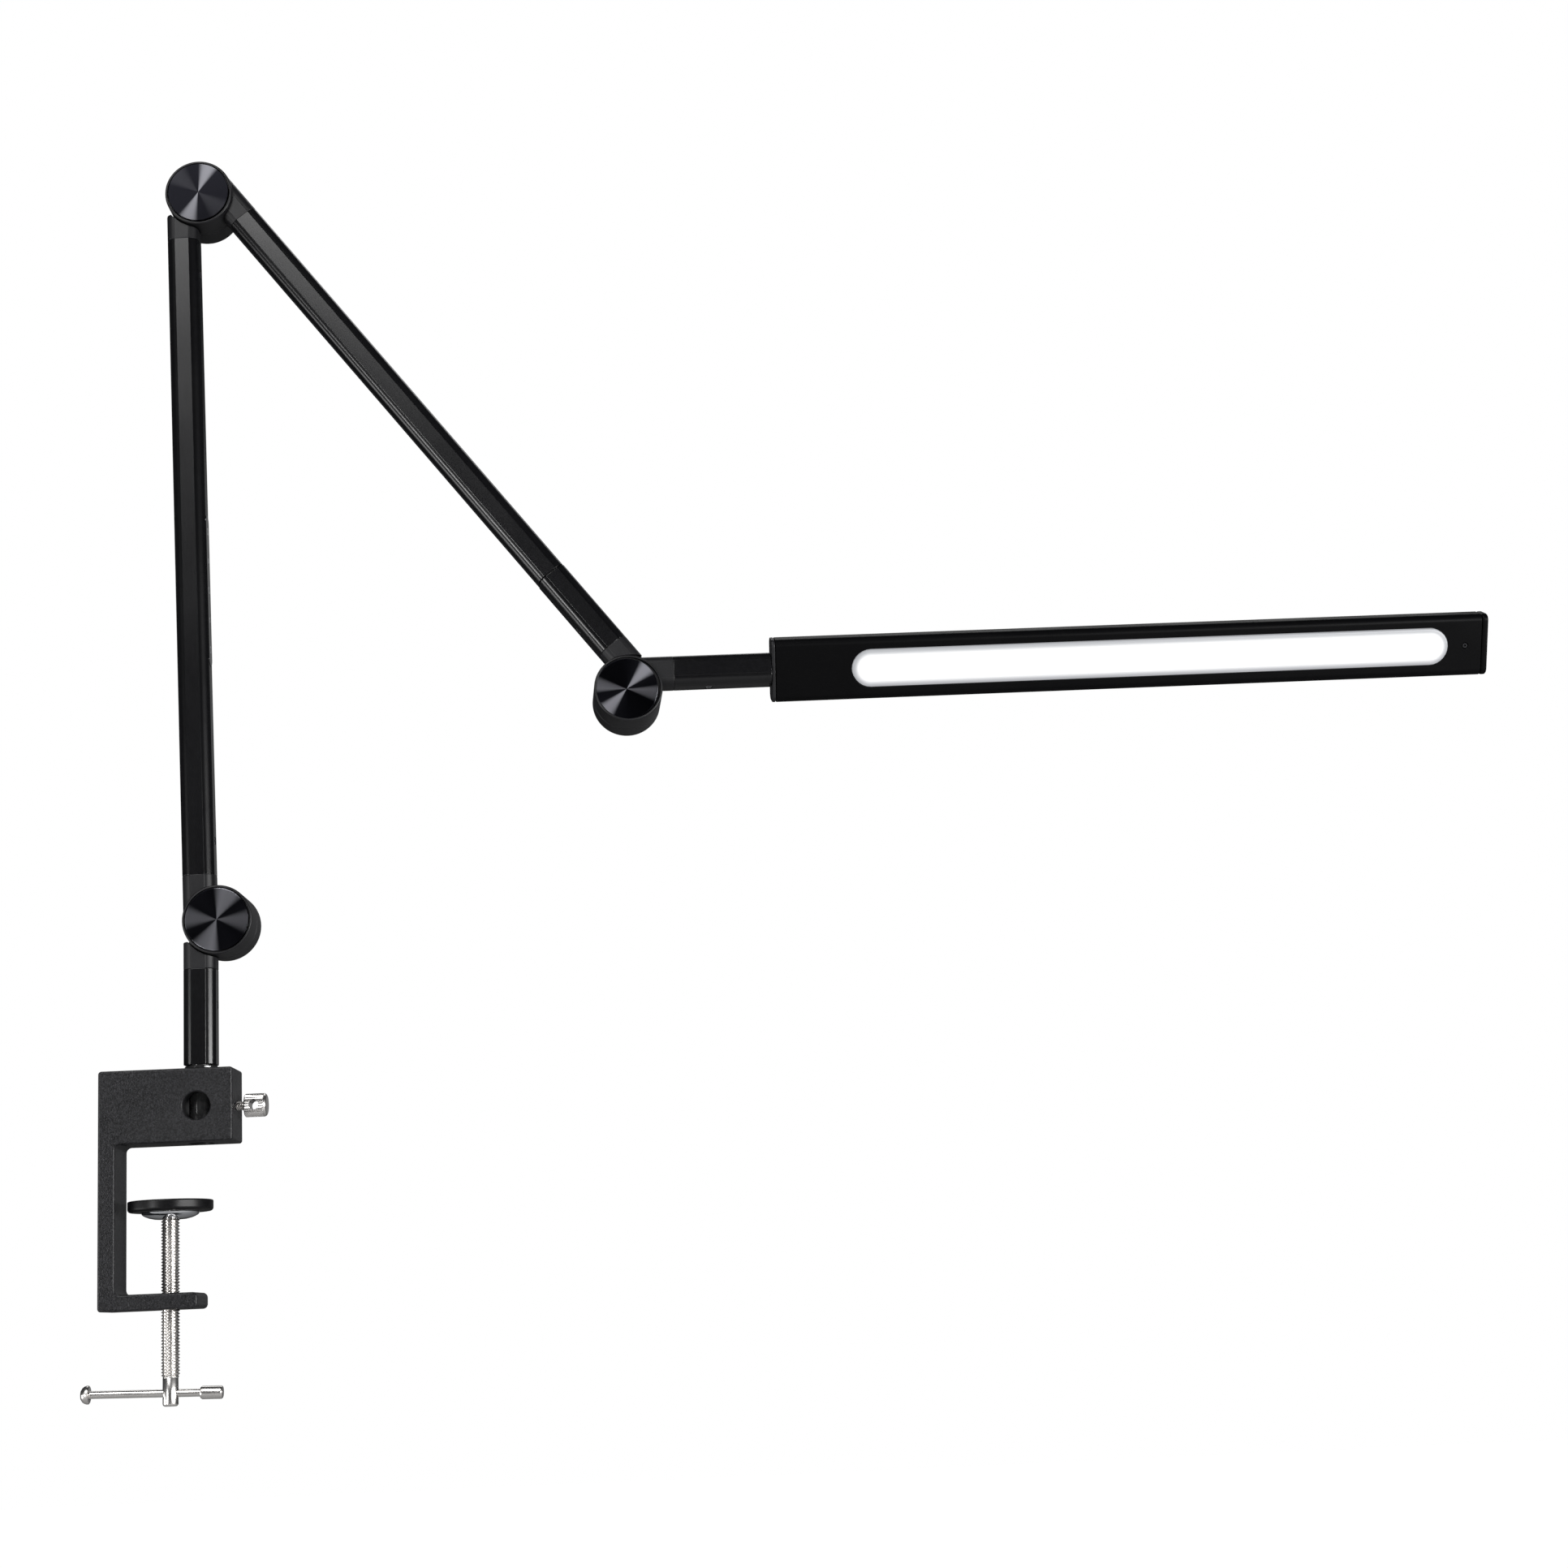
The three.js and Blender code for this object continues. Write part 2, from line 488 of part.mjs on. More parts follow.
// The head's frame has its length along Z and its roll axis at x = y = 0
function buildHead(group) {
  const face = HEAD_THICK / 2;
  const section = roundedOutline(HEAD_WIDTH, HEAD_THICK, HEAD_CORNER);
  const bodyFrom = HEAD[0] + END_PLATE + 0.1;
  const bodyTo = HEAD[1] - END_CAP - 0.1;
  const bore = rod("z", NECK_JOURNAL_R + 1.2 + GAP, HEAD[0] - 5, HEAD[0] + 17, [0, 0], 28);
  const screwAt = bodyTo - 7.2;
  const screwHole = rod("y", 1.3, -face - 1, -face + 3, [0, screwAt], 20);
  add(group, "head_housing", cut(
    extrude(section, bodyFrom, bodyTo),
    stadium(WINDOW_WIDTH, 0, face - POCKET_DEEP, face + 2),
    bore,
    screwHole,
  ), "tube");
  add(group, "head_inner_plate", cut(
    extrude(section, HEAD[0], HEAD[0] + END_PLATE - 0.2),
    rod("z", NECK_JOURNAL_R + GAP, HEAD[0] - 5, HEAD[0] + 5, [0, 0], 28),
  ), "casting");
  const capSection = { depth: END_CAP - 1, bevelEnabled: true, bevelSize: 0.8, bevelThickness: 0.8,
    bevelOffset: -0.8, bevelSegments: 1, curveSegments: 3 };
  const capBar = new THREE.ExtrudeGeometry(section, capSection).translate(0, 0, HEAD[1] - END_CAP + 0.2);
  add(group, "head_end_cap", cut(capBar, block([-30, 30], [-30, 30], [bodyTo - 5, bodyTo + GAP])), "casting");
  add(group, "head_screw", cut(
    rod("y", 1, -face + 0.3, -face + 2.6, [0, screwAt], 16),
    new THREE.CylinderGeometry(0.5, 0.5, 1.2, 6).translate(0, -face + 0.5, screwAt),
  ), "steel");
  add(group, "diffuser", join(
    stadium(WINDOW_WIDTH, -GAP, face - 2.6, face - 0.4),
    stadium(WINDOW_WIDTH, -GAP - 0.7, face - 1, face + 0.1),
  ), "light");
  add(group, "led_board", block([-4.5, 4.5], [-face + POCKET_DEEP - 1.5, -face + POCKET_DEEP - 0.3],
    [WINDOW[0] + 6, WINDOW[1] - 6]), "board");
}

function frameAt(parent, place, leanDegrees) {
  const group = new THREE.Group();
  group.position.set(...place);
  group.rotation.y = THREE.MathUtils.degToRad(leanDegrees);
  parent.add(group);
  return group;
}

buildClamp(lamp);
buildLock(lamp);
buildSpindle(lamp);
buildTommyBar(frameAt(lamp, [0, 0, BAR_Z], BAR_TILT));
const pole = frameAt(lamp, BASE_HINGE, 0);
buildPole(pole);
const lowerArm = frameAt(pole, [0, 0, 0], LOWER_LEAN);
addHinge(lowerArm, "base_hinge", pole);
const elbow = frameAt(lowerArm, [0, 0, LOWER_ARM], 0);
buildLowerArm(lowerArm, elbow);
const upperArm = frameAt(elbow, [0, 0, 0], UPPER_LEAN - LOWER_LEAN);
addHinge(upperArm, "elbow_hinge", elbow);
buildUpperArm(upperArm);
// The wrist twists about the upper arm's centreline
const twistLine = frameAt(upperArm, [-ARM_OFFSET, 0, 0], 0);
twistLine.rotation.z = THREE.MathUtils.degToRad(WRIST_TWIST);
const wrist = frameAt(twistLine, [ARM_OFFSET, 0, UPPER_ARM], 0);
buildWrist(wrist);
const neck = frameAt(wrist, [0, 0, 0], HEAD_LEAN - UPPER_LEAN);
addHinge(neck, "head_hinge", wrist);
buildNeck(neck);
const head = frameAt(neck, [-ARM_OFFSET, 0, 0], 0);
head.rotation.z = THREE.MathUtils.degToRad(HEAD_ROLL);
buildHead(head);

export default lamp;
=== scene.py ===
"""Architect desk lamp on a screw clamp: visible pieces, finishes, studio light and camera.

Metres, +Z up, +X towards the head, -Y the front. Each arm has a frame with its hinge axis on Y and the
arm along Z, and its pieces are made in that frame.
"""
import json
import math

import bmesh
import bpy
from mathutils import Matrix, Vector


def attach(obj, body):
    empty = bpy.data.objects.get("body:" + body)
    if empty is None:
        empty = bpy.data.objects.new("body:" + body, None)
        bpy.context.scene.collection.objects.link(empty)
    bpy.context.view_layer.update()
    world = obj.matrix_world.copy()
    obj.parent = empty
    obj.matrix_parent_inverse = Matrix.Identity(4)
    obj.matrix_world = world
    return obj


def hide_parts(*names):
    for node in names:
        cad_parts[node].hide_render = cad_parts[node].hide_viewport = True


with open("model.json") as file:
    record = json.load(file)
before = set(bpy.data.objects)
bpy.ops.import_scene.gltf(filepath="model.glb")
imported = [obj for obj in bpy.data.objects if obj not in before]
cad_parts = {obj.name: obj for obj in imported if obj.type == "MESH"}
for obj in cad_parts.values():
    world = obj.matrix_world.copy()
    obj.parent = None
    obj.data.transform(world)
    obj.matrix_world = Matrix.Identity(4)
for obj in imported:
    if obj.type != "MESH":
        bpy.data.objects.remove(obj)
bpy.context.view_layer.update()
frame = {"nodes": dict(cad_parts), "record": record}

# Square tube and its fittings
GAP = 0.0003
TUBE = 0.0134
TUBE_CORNER = 0.0038
CORNER_STEP = 0.00013
WALL = 0.0016
TUBE_EDGE = 0.00022
SET_SCREW_AT = 0.0345
SET_SCREW_HOLE = 0.0017

# Friction hinges
HINGE_R = 0.0144
ARM_OFFSET = 0.0081
FRONT_FACE = -0.0086
SPLIT = 0.0046
BACK_FACE = 0.015
SEAM = 0.0197
NECKING = 0.0085
SHOULDER = 0.007
ARM_STOP = 40
HEAD_STOP = 55
RIM_ROUND = 0.00055
DRUM_EASE = 0.00025
DRUM_SIDES = 112
STRIP_INTO_DRUM = 0.0008
BRACKET_CREASE = 26
CAP_R = 0.0131
CAP_PROUD = 0.0004
CAP_DEEP = 0.0007
BOLT_BORE = 0.00275
BOLT_HEAD_BORE = 0.0047
BOLT_HEAD_FLOOR = -0.0023
NUT_BORE = 0.005
NUT_FLOOR = 0.0094
WASHER_BORE = 0.0092
WASHER_DEEP = 0.001

# The arms, between hinge centres, and how they stand
POLE_X = 0.0127
BASE_HINGE = (POLE_X + ARM_OFFSET, 0, 0.09095)
LOWER_ARM = 0.3193
LOWER_LEAN = -1.21
UPPER_ARM = 0.2904
UPPER_LEAN = 142.01
WRIST_SEAM = 0.2298
WRIST_TWIST = -6.3
HEAD_LEAN = 88.68

# Clamp
CLAMP_LEFT = -0.0271
CLAMP_RIGHT = 0.02735
CLAMP_DEPTH = 0.0234
BLOCK_TOP = 0.0299
SPINE_FACE = -0.0202
JAW_BOTTOM = -0.0665
JAW_TOP = -0.06
JAW_END = 0.013
CLAMP_EDGE = 0.0009
STEM_R = 0.005
STEM_BOTTOM = 0.0008
POLE_FOOT = 0.0318
CROSS_BORE_R = 0.00575
LOCK_Z = 0.0146
LOCK_SCREW_R = 0.0019
LOCK_PITCH = 0.0007
KNOB_FROM = 0.0306
KNOB_TO = 0.0397
KNOB_R = 0.0048
KNOB_RIBS = 34
TOMMY_HOLE_R = 0.002
PAD_R = 0.0172
PAD_BOTTOM = -0.0273
PAD_TOP = -0.0228
SPINDLE_R = 0.0037
SPINDLE_ROOT_R = 0.00305
SPINDLE_PITCH = 0.00125
SPINDLE_TAIL_R = 0.00315
THREAD_TOP = -0.0289
THREAD_END = -0.0938
SPINDLE_END = -0.1047
BAR_Z = -0.0995
BAR_TILT = 1.2
BAR_R = 0.00155
BAR_LEFT = -0.0361
BAR_RIGHT = 0.0211
BAR_FLANGE_R = 0.0037
BAR_SLEEVE_R = 0.00265
BAR_SLEEVE_LENGTH = 0.009

# Touch panel and LED head
TOUCH_FROM = 0.1096
TOUCH_TO = 0.1758
TOUCH_WIDTH = 0.0062
HEAD_FROM = 0.0614
HEAD_TO = 0.3755
HEAD_WIDTH = 0.027
HEAD_THICK = 0.011
HEAD_CORNER = 0.003
HEAD_ROLL = 28
END_PLATE = 0.0016
END_CAP = 0.003
WINDOW_FROM = 0.0955
WINDOW_TO = 0.3578
WINDOW_WIDTH = 0.0166

# Heights from the touch panel's middle, and radii, of the rings printed on it
TOUCH_MARKS = ((-0.026, 0.0013), (-0.013, 0.0009), (0.0, 0.0013), (0.013, 0.0009), (0.026, 0.0013))

# Studio: the floor below the desk that the clamp would grip, and how bright the backdrop is to the camera
FLOOR = -0.74
FLOOR_HALF = 12.0
BACKDROP = 1.0

# Camera: turned by these angles (radians) from looking along +Y
CAMERA_AT = (0.23474, -1.1514, -0.08475)
CAMERA_YAW, CAMERA_PITCH, CAMERA_ROLL = 0.0195, 0.1927, 0.0436
CAMERA_LENS = 64.08

# How far a cutting tool reaches past its piece, the smallest ring of a turned shape, and the gap that
# is welded
BEYOND = 0.02
AXIS_R = 2e-5
WELD = 1e-7


def frame_at(parent, place, axis="Z", degrees=0):
    return parent @ Matrix.Translation(place) @ Matrix.Rotation(math.radians(degrees), 4, axis)


CLAMP = Matrix.Identity(4)
BAR = frame_at(CLAMP, (0, 0, BAR_Z), "Y", BAR_TILT)
POLE = frame_at(CLAMP, BASE_HINGE)
LOWER = frame_at(POLE, (0, 0, 0), "Y", LOWER_LEAN)
ELBOW = frame_at(LOWER, (0, 0, LOWER_ARM))
UPPER = frame_at(ELBOW, (0, 0, 0), "Y", UPPER_LEAN - LOWER_LEAN)
TWIST = frame_at(UPPER, (-ARM_OFFSET, 0, 0), "Z", WRIST_TWIST)
WRIST = frame_at(TWIST, (ARM_OFFSET, 0, UPPER_ARM))
NECK = frame_at(WRIST, (0, 0, 0), "Y", HEAD_LEAN - UPPER_LEAN)
HEAD = frame_at(NECK, (-ARM_OFFSET, 0, 0), "Z", HEAD_ROLL)


# ---- outlines: lists of (u, v) points, counter-clockwise ----

def arc(centre, radius, start, end, steps):
    """Points on an arc, angles in degrees."""
    points = []
    for i in range(steps + 1):
        angle = math.radians(start + (end - start) * i / steps)
        points.append((centre[0] + radius * math.cos(angle), centre[1] + radius * math.sin(angle)))
    return points


def rounded_box(width, height, corner, steps=8):
    u, v = width / 2 - corner, height / 2 - corner
    return (arc((u, v), corner, 0, 90, steps) + arc((-u, v), corner, 90, 180, steps)
            + arc((-u, -v), corner, 180, 270, steps) + arc((u, -v), corner, 270, 360, steps))


def tube_outline(width, corner, step, steps=7):
    """A square with rounded corners that lie a hair below the flats, as drawn tube has."""
    half = width / 2
    flat = half - corner
    points = []
    for turn in range(4):
        spin = Matrix.Rotation(turn * math.pi / 2, 2)
        quarter = [(half, flat), (half - step * 0.3, flat + step)]
        quarter += arc((flat, flat), corner - step, 4, 86, steps)
        quarter += [(flat + step, half - step * 0.3), (flat, half)]
        points += [tuple(spin @ Vector(point)) for point in quarter]
    return points


def rounded_polygon(corners, inset=0.0, steps=6):
    """corners are (u, v, radius); inset moves every edge inwards."""
    count = len(corners)
    points = []
    for i, (u, v, radius) in enumerate(corners):
        here = Vector((u, v))
        before = (here - Vector(corners[i - 1][:2])).normalized()
        after = (Vector(corners[(i + 1) % count][:2]) - here).normalized()
        normals = [Vector((-way.y, way.x)) for way in (before, after)]
        here = here + (normals[0] + normals[1]) / (1 + normals[0].dot(normals[1])) * inset
        turn = math.atan2(before.x * after.y - before.y * after.x, before.dot(after))
        side = 1 if turn > 0 else -1
        radius = radius - side * inset
        reach = radius * math.tan(abs(turn) / 2)
        centre = here - before * reach + normals[0] * side * radius
        start = math.degrees(math.atan2(*reversed(-normals[0] * side)))
        points += arc(centre, radius, start, start + math.degrees(turn), steps)
    return points


def circle(radius, sides, centre=(0.0, 0.0)):
    return arc(centre, radius, 0, 360 - 360 / sides, sides - 1)


def ring_z(outline, z, centre=(0.0, 0.0)):
    return [(u + centre[0], v + centre[1], z) for u, v in outline]


def eased_edge(from_, to, edge, steps=4):
    """(place, inset) pairs from one end of a bar to the other, with both end edges rounded."""
    near = [(from_ + edge - edge * math.cos(a), edge - edge * math.sin(a))
            for a in (math.pi / 2 * k / steps for k in range(steps + 1))]
    far = [(to - (place - from_), inset) for place, inset in reversed(near)]
    return near + far


# ---- solids ----

def new_object(name, points, faces):
    mesh = bpy.data.meshes.new(name)
    mesh.from_pydata([tuple(point) for point in points], [], faces)
    obj = bpy.data.objects.new(name, mesh)
    bpy.context.scene.collection.objects.link(obj)
    return obj


def loft(name, rings, closed=False):
    """Skins equal rings of points in order; closed joins the last to the first, or both ends get a face."""
    size = len(rings[0])
    points = [point for ring in rings for point in ring]
    faces = []
    for i in range(len(rings) if closed else len(rings) - 1):
        a, b = i * size, ((i + 1) % len(rings)) * size
        for k in range(size):
            n = (k + 1) % size
            faces.append((a + k, a + n, b + n, b + k))
    if not closed:
        faces.append(tuple(reversed(range(size))))
        faces.append(tuple(range((len(rings) - 1) * size, len(rings) * size)))
    obj = new_object(name, points, faces)
    face_outwards(obj)
    return obj


def face_outwards(obj):
    shape = bmesh.new()
    shape.from_mesh(obj.data)
    bmesh.ops.remove_doubles(shape, verts=shape.verts, dist=WELD)
    bmesh.ops.recalc_face_normals(shape, faces=shape.faces)
    shape.to_mesh(obj.data)
    shape.free()


def lathe(name, profile, axis="z", sides=64, centre=(0.0, 0.0), closed=False):
    """Turns (radius, height) points about an axis through centre, on the two other coordinates."""
    rings = []
    for radius, height in profile:
        turned = circle(max(radius, AXIS_R), sides)
        if axis == "z":
            rings.append([(u + centre[0], v + centre[1], height) for u, v in turned])
        elif axis == "y":
            rings.append([(u + centre[0], height, v + centre[1]) for u, v in turned])
        else:
            rings.append([(height, u + centre[0], v + centre[1]) for u, v in turned])
    return loft(name, rings, closed)


def rod(axis, radius, from_, to, centre=(0.0, 0.0), sides=64):
    return lathe("tool", [(radius, from_), (radius, to)], axis, sides, centre)


def block(left, right, near, far, from_, to):
    """A plain box between two places on each of X, Y and Z."""
    base = [(left, near), (right, near), (right, far), (left, far)]
    return loft("tool", [ring_z(base, from_), ring_z(base, to)])


def combine(obj, operation, tools):
    """Cuts the tools from obj, or joins them to it, and uses them up."""
    for tool in tools:
        change = obj.modifiers.new(operation, "BOOLEAN")
        change.operation = operation
        change.object = tool
        change.solver = "EXACT"
    solid = bpy.data.meshes.new_from_object(obj.evaluated_get(bpy.context.evaluated_depsgraph_get()))
    obj.modifiers.clear()
    obj.data = solid
    for tool in tools:
        bpy.data.objects.remove(tool)
    return obj


def cut(obj, *tools):
    return combine(obj, "DIFFERENCE", tools)


def fuse(obj, *tools):
    return combine(obj, "UNION", tools)


def gather(obj, *others):
    """Puts separate shells into one piece."""
    shape = bmesh.new()
    shape.from_mesh(obj.data)
    for other in others:
        shape.from_mesh(other.data)
        bpy.data.objects.remove(other)
    shape.to_mesh(obj.data)
    shape.free()
    return obj


def place(obj, at, body, finish, *nodes, crease=32, own_frame=False, flats=True):
    """Sets a finished piece in its frame, on its body, in place of its CAD nodes.

    A piece keeps its own frame as its object's only where its finish is drawn in that frame.
    """
    obj.data.shade_smooth()
    obj.data.set_sharp_from_angle(angle=math.radians(crease))
    if own_frame:
        obj.matrix_world = at
    else:
        obj.data.transform(at)
    if flats:
        obj.modifiers.new("flat faces", "WEIGHTED_NORMAL").keep_sharp = True
    obj.data.materials.clear()
    obj.data.materials.append(finishes[finish])
    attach(obj, body)
    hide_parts(*nodes)
    return obj


# ---- shader node groups ----

def new_group(name, inputs, outputs):
    group = bpy.data.node_groups.new(name, "ShaderNodeTree")
    for title, kind, default in inputs:
        socket = group.interface.new_socket(title, in_out="INPUT", socket_type=kind)
        socket.default_value = default
    for title, kind in outputs:
        group.interface.new_socket(title, in_out="OUTPUT", socket_type=kind)
    start = group.nodes.new("NodeGroupInput")
    end = group.nodes.new("NodeGroupOutput")
    return group, start, end


def node(tree, kind, links=(), **settings):
    """Adds a node; settings are its properties, and links are (socket, value or other node's output)."""
    made = tree.nodes.new("ShaderNode" + kind)
    for key, value in settings.items():
        setattr(made, key, value)
    for socket, source in links:
        if isinstance(source, bpy.types.NodeSocket):
            tree.links.new(source, made.inputs[socket])
        else:
            made.inputs[socket].default_value = source
    return made


def calculate(tree, operation, *values):
    """The result of a maths node on one or two numbers or other nodes' outputs."""
    return node(tree, "Math", enumerate(values), operation=operation).outputs[0]


FLOAT = "NodeSocketFloat"


def make_grain_group():
    """Fine blasted or sprayed grain: a speckle from 0 to 1 and a height for a bump."""
    group, start, end = new_group(
        "Surface grain",
        [("Scale", FLOAT, 2400.0), ("Coarseness", FLOAT, 0.5)],
        [("Speckle", FLOAT), ("Height", FLOAT)])
    where = node(group, "TexCoord")
    fine = node(group, "TexNoise", [("Vector", where.outputs["Object"]), ("Scale", start.outputs["Scale"]),
                                    ("Detail", 3.0), ("Roughness", start.outputs["Coarseness"])])
    cells = node(group, "TexVoronoi",
                 [("Vector", where.outputs["Object"]), ("Scale", start.outputs["Scale"])])
    both = calculate(group, "MULTIPLY", fine.outputs["Fac"], cells.outputs["Distance"])
    spread = node(group, "MapRange",
                  [("Value", fine.outputs["Fac"]), ("From Min", 0.38), ("From Max", 0.68)])
    group.links.new(spread.outputs["Result"], end.inputs["Speckle"])
    group.links.new(both, end.inputs["Height"])
    return group


def make_handling_group():
    """Broad, faint changes of sheen from handling and cleaning."""
    group, start, end = new_group(
        "Handling marks",
        [("Low", FLOAT, 0.3), ("High", FLOAT, 0.5)],
        [("Roughness", FLOAT)])
    where = node(group, "TexCoord")
    cloud = node(group, "TexNoise", [("Vector", where.outputs["Object"]), ("Scale", 38.0), ("Detail", 4.0)])
    spread = node(group, "MapRange", [("Value", cloud.outputs["Fac"]), ("From Min", 0.3), ("From Max", 0.7),
                                      ("To Min", start.outputs["Low"]), ("To Max", start.outputs["High"])])
    group.links.new(spread.outputs["Result"], end.inputs["Roughness"])
    return group


def make_edge_group():
    """Where a convex edge has lost a little of its finish."""
    group, start, end = new_group(
        "Edge wear",
        [("Start", FLOAT, 0.53), ("Full", FLOAT, 0.6)],
        [("Mask", FLOAT)])
    shape = node(group, "NewGeometry")
    where = node(group, "TexCoord")
    patches = node(group, "TexNoise",
                   [("Vector", where.outputs["Object"]), ("Scale", 420.0), ("Detail", 3.0)])
    edge = node(group, "MapRange",
                [("Value", shape.outputs["Pointiness"]), ("From Min", start.outputs["Start"]),
                 ("From Max", start.outputs["Full"])])
    mask = calculate(group, "MULTIPLY", edge.outputs["Result"], patches.outputs["Fac"])
    group.links.new(mask, end.inputs["Mask"])
    return group


def make_spun_group():
    """A disc turned on a lathe: two painted highlight fans through its centre and fine rings around it."""
    group, start, end = new_group(
        "Spun disc with painted fans",
        [("First Angle", FLOAT, 0.0), ("First Edge", FLOAT, 0.9), ("Second Angle", FLOAT, 1.0),
         ("Second Edge", FLOAT, 0.9), ("Second Strength", FLOAT, 0.5)],
        [("Painted Fan", FLOAT), ("Rings", FLOAT)])
    where = node(group, "TexCoord")
    split = node(group, "SeparateXYZ", [(0, where.outputs["Object"])])
    angle = calculate(group, "ARCTAN2", split.outputs["Z"], split.outputs["X"])
    fans = []
    # Each fan is a painted highlight: a wedge of lighter colour through the centre, both ways.
    for title in ("First", "Second"):
        turned = calculate(group, "SUBTRACT", angle, start.outputs[title + " Angle"])
        both_ways = calculate(group, "ABSOLUTE", calculate(group, "COSINE", turned))
        painted_wedge = node(group, "MapRange",
                     [("Value", both_ways), ("From Min", start.outputs[title + " Edge"]),
                      ("From Max", 1.0)], interpolation_type="SMOOTHSTEP")
        fans.append(painted_wedge.outputs["Result"])
    weaker_painted_fan = calculate(group, "MULTIPLY", fans[1], start.outputs["Second Strength"])
    painted_fan = calculate(group, "MAXIMUM", fans[0], weaker_painted_fan)
    across = calculate(group, "MULTIPLY", split.outputs["X"], split.outputs["X"])
    up = calculate(group, "MULTIPLY", split.outputs["Z"], split.outputs["Z"])
    radius = calculate(group, "POWER", calculate(group, "ADD", across, up), 0.5)
    track = node(group, "CombineXYZ", [(0, radius)])
    rings = node(group, "TexNoise", [("Vector", track.outputs[0]), ("Scale", 5200.0), ("Detail", 2.0)])
    group.links.new(painted_fan, end.inputs["Painted Fan"])
    group.links.new(rings.outputs["Fac"], end.inputs["Rings"])
    return group


GRAIN = make_grain_group()
HANDLING = make_handling_group()
EDGE_WEAR = make_edge_group()
SPUN = make_spun_group()


# ---- finishes ----

finishes = {}
slots = {}


def use_group(tree, group, **values):
    made = tree.nodes.new("ShaderNodeGroup")
    made.node_tree = group
    for key, value in values.items():
        made.inputs[key].default_value = value
    return made


def blend(tree, factor, low, high):
    """Mixes two colours by a mask."""
    made = tree.nodes.new("ShaderNodeMix")
    made.data_type = "RGBA"
    for socket, value in ((6, low), (7, high)):
        if isinstance(value, bpy.types.NodeSocket):
            tree.links.new(value, made.inputs[socket])
        else:
            made.inputs[socket].default_value = (*value, 1)
    tree.links.new(factor, made.inputs[0])
    return made.outputs[2]


def start_finish(name, slot, **sockets):
    material = bpy.data.materials.new(name)
    material.use_nodes = True
    tree = material.node_tree
    surface = tree.nodes["Principled BSDF"]
    for key, value in sockets.items():
        surface.inputs[key.replace("_", " ")].default_value = value
    finishes[name] = material
    slots[name] = slot
    return tree, surface


def coated(name, slot, dark, light, worn, roughness, grain, metallic=0.0, coarse=0.5, bump=0.25, depth=6e-5,
           wear=(0.53, 0.62), **sockets):
    """A metal finish with grain in its colour and surface, changing sheen, and paler edges."""
    tree, surface = start_finish(name, slot, Metallic=metallic, **sockets)
    speck = use_group(tree, GRAIN, Scale=grain, Coarseness=coarse)
    sheen = use_group(tree, HANDLING, Low=roughness[0], High=roughness[1])
    edge = use_group(tree, EDGE_WEAR, Start=wear[0], Full=wear[1])
    body = blend(tree, speck.outputs["Speckle"], dark, light)
    tree.links.new(blend(tree, edge.outputs["Mask"], body, worn), surface.inputs["Base Color"])
    tree.links.new(sheen.outputs["Roughness"], surface.inputs["Roughness"])
    relief = node(tree, "Bump",
                  [("Strength", bump), ("Distance", depth), ("Height", speck.outputs["Height"])])
    tree.links.new(relief.outputs["Normal"], surface.inputs["Normal"])


def spun(name, first, second, strength, bright):
    """A hinge cap's turned black face with two painted highlight fans in its colour; first and second are
    its fans' (degrees from +X, half width).
    """
    tree, surface = start_finish(name, "spun_black_metal", Metallic=1.0, Anisotropic=0.6)
    disc = use_group(tree, SPUN)
    for title, (angle, half_width) in (("First", first), ("Second", second)):
        disc.inputs[title + " Angle"].default_value = math.radians(angle)
        disc.inputs[title + " Edge"].default_value = math.cos(math.radians(half_width))
    disc.inputs["Second Strength"].default_value = strength
    # Painted highlight: the base colour is lighter inside the fans, bright being their colour.
    colour = blend(tree, disc.outputs["Painted Fan"], CAP_DARK, (bright, bright, bright * 1.1))
    tree.links.new(colour, surface.inputs["Base Color"])
    spread = node(tree, "MapRange", [("Value", disc.outputs["Rings"]), ("To Min", 0.26), ("To Max", 0.4)])
    tree.links.new(spread.outputs["Result"], surface.inputs["Roughness"])
    relief = node(tree, "Bump", [("Strength", 0.12), ("Distance", 2e-5), ("Height", disc.outputs["Rings"])])
    tree.links.new(relief.outputs["Normal"], surface.inputs["Normal"])
    around = node(tree, "Tangent", direction_type="RADIAL", axis="Y")
    tree.links.new(around.outputs["Tangent"], surface.inputs["Tangent"])


# Colours are dark and light grain, then worn edges; the pair of numbers is the range of roughness
CAP_DARK = (0.0065, 0.0066, 0.0085)

coated("blasted black anodising", "anodised_aluminium", (0.0006, 0.0006, 0.0008), (0.0032, 0.0032, 0.0040),
       (0.015, 0.015, 0.017), (0.21, 0.25), 3400.0, bump=0.09, depth=4e-5, Specular_IOR_Level=0.42)
coated("head black anodising", "anodised_aluminium", (0.0008, 0.0008, 0.0010), (0.0016, 0.0016, 0.0019),
       (0.006, 0.006, 0.007), (0.38, 0.46), 3800.0, bump=0.08, depth=3e-5, Specular_IOR_Level=0.07)
coated("charcoal casting", "charcoal_casting", (0.0048, 0.0048, 0.0058), (0.0082, 0.0082, 0.0095),
       (0.014, 0.014, 0.016), (0.40, 0.48), 1900.0, bump=0.1, depth=4e-5, Specular_IOR_Level=0.38)
coated("speckled powder coat", "charcoal_powder_coat", (0.0008, 0.0008, 0.0012), (0.022, 0.022, 0.025),
       (0.04, 0.04, 0.043), (0.36, 0.46), 1500.0, coarse=0.72, bump=0.9, depth=1.5e-4,
       Specular_IOR_Level=0.35)
coated("gloss black plating", "gloss_black", (0.006, 0.006, 0.007), (0.009, 0.009, 0.010),
       (0.12, 0.12, 0.12), (0.06, 0.14), 900.0, metallic=0.3, bump=0.05, depth=2e-5, Coat_Weight=0.6)
coated("satin rubber", "black_rubber", (0.002, 0.002, 0.0024), (0.005, 0.005, 0.006),
       (0.008, 0.008, 0.009), (0.34, 0.5), 1400.0, bump=0.2, depth=4e-5, Specular_IOR_Level=0.25)
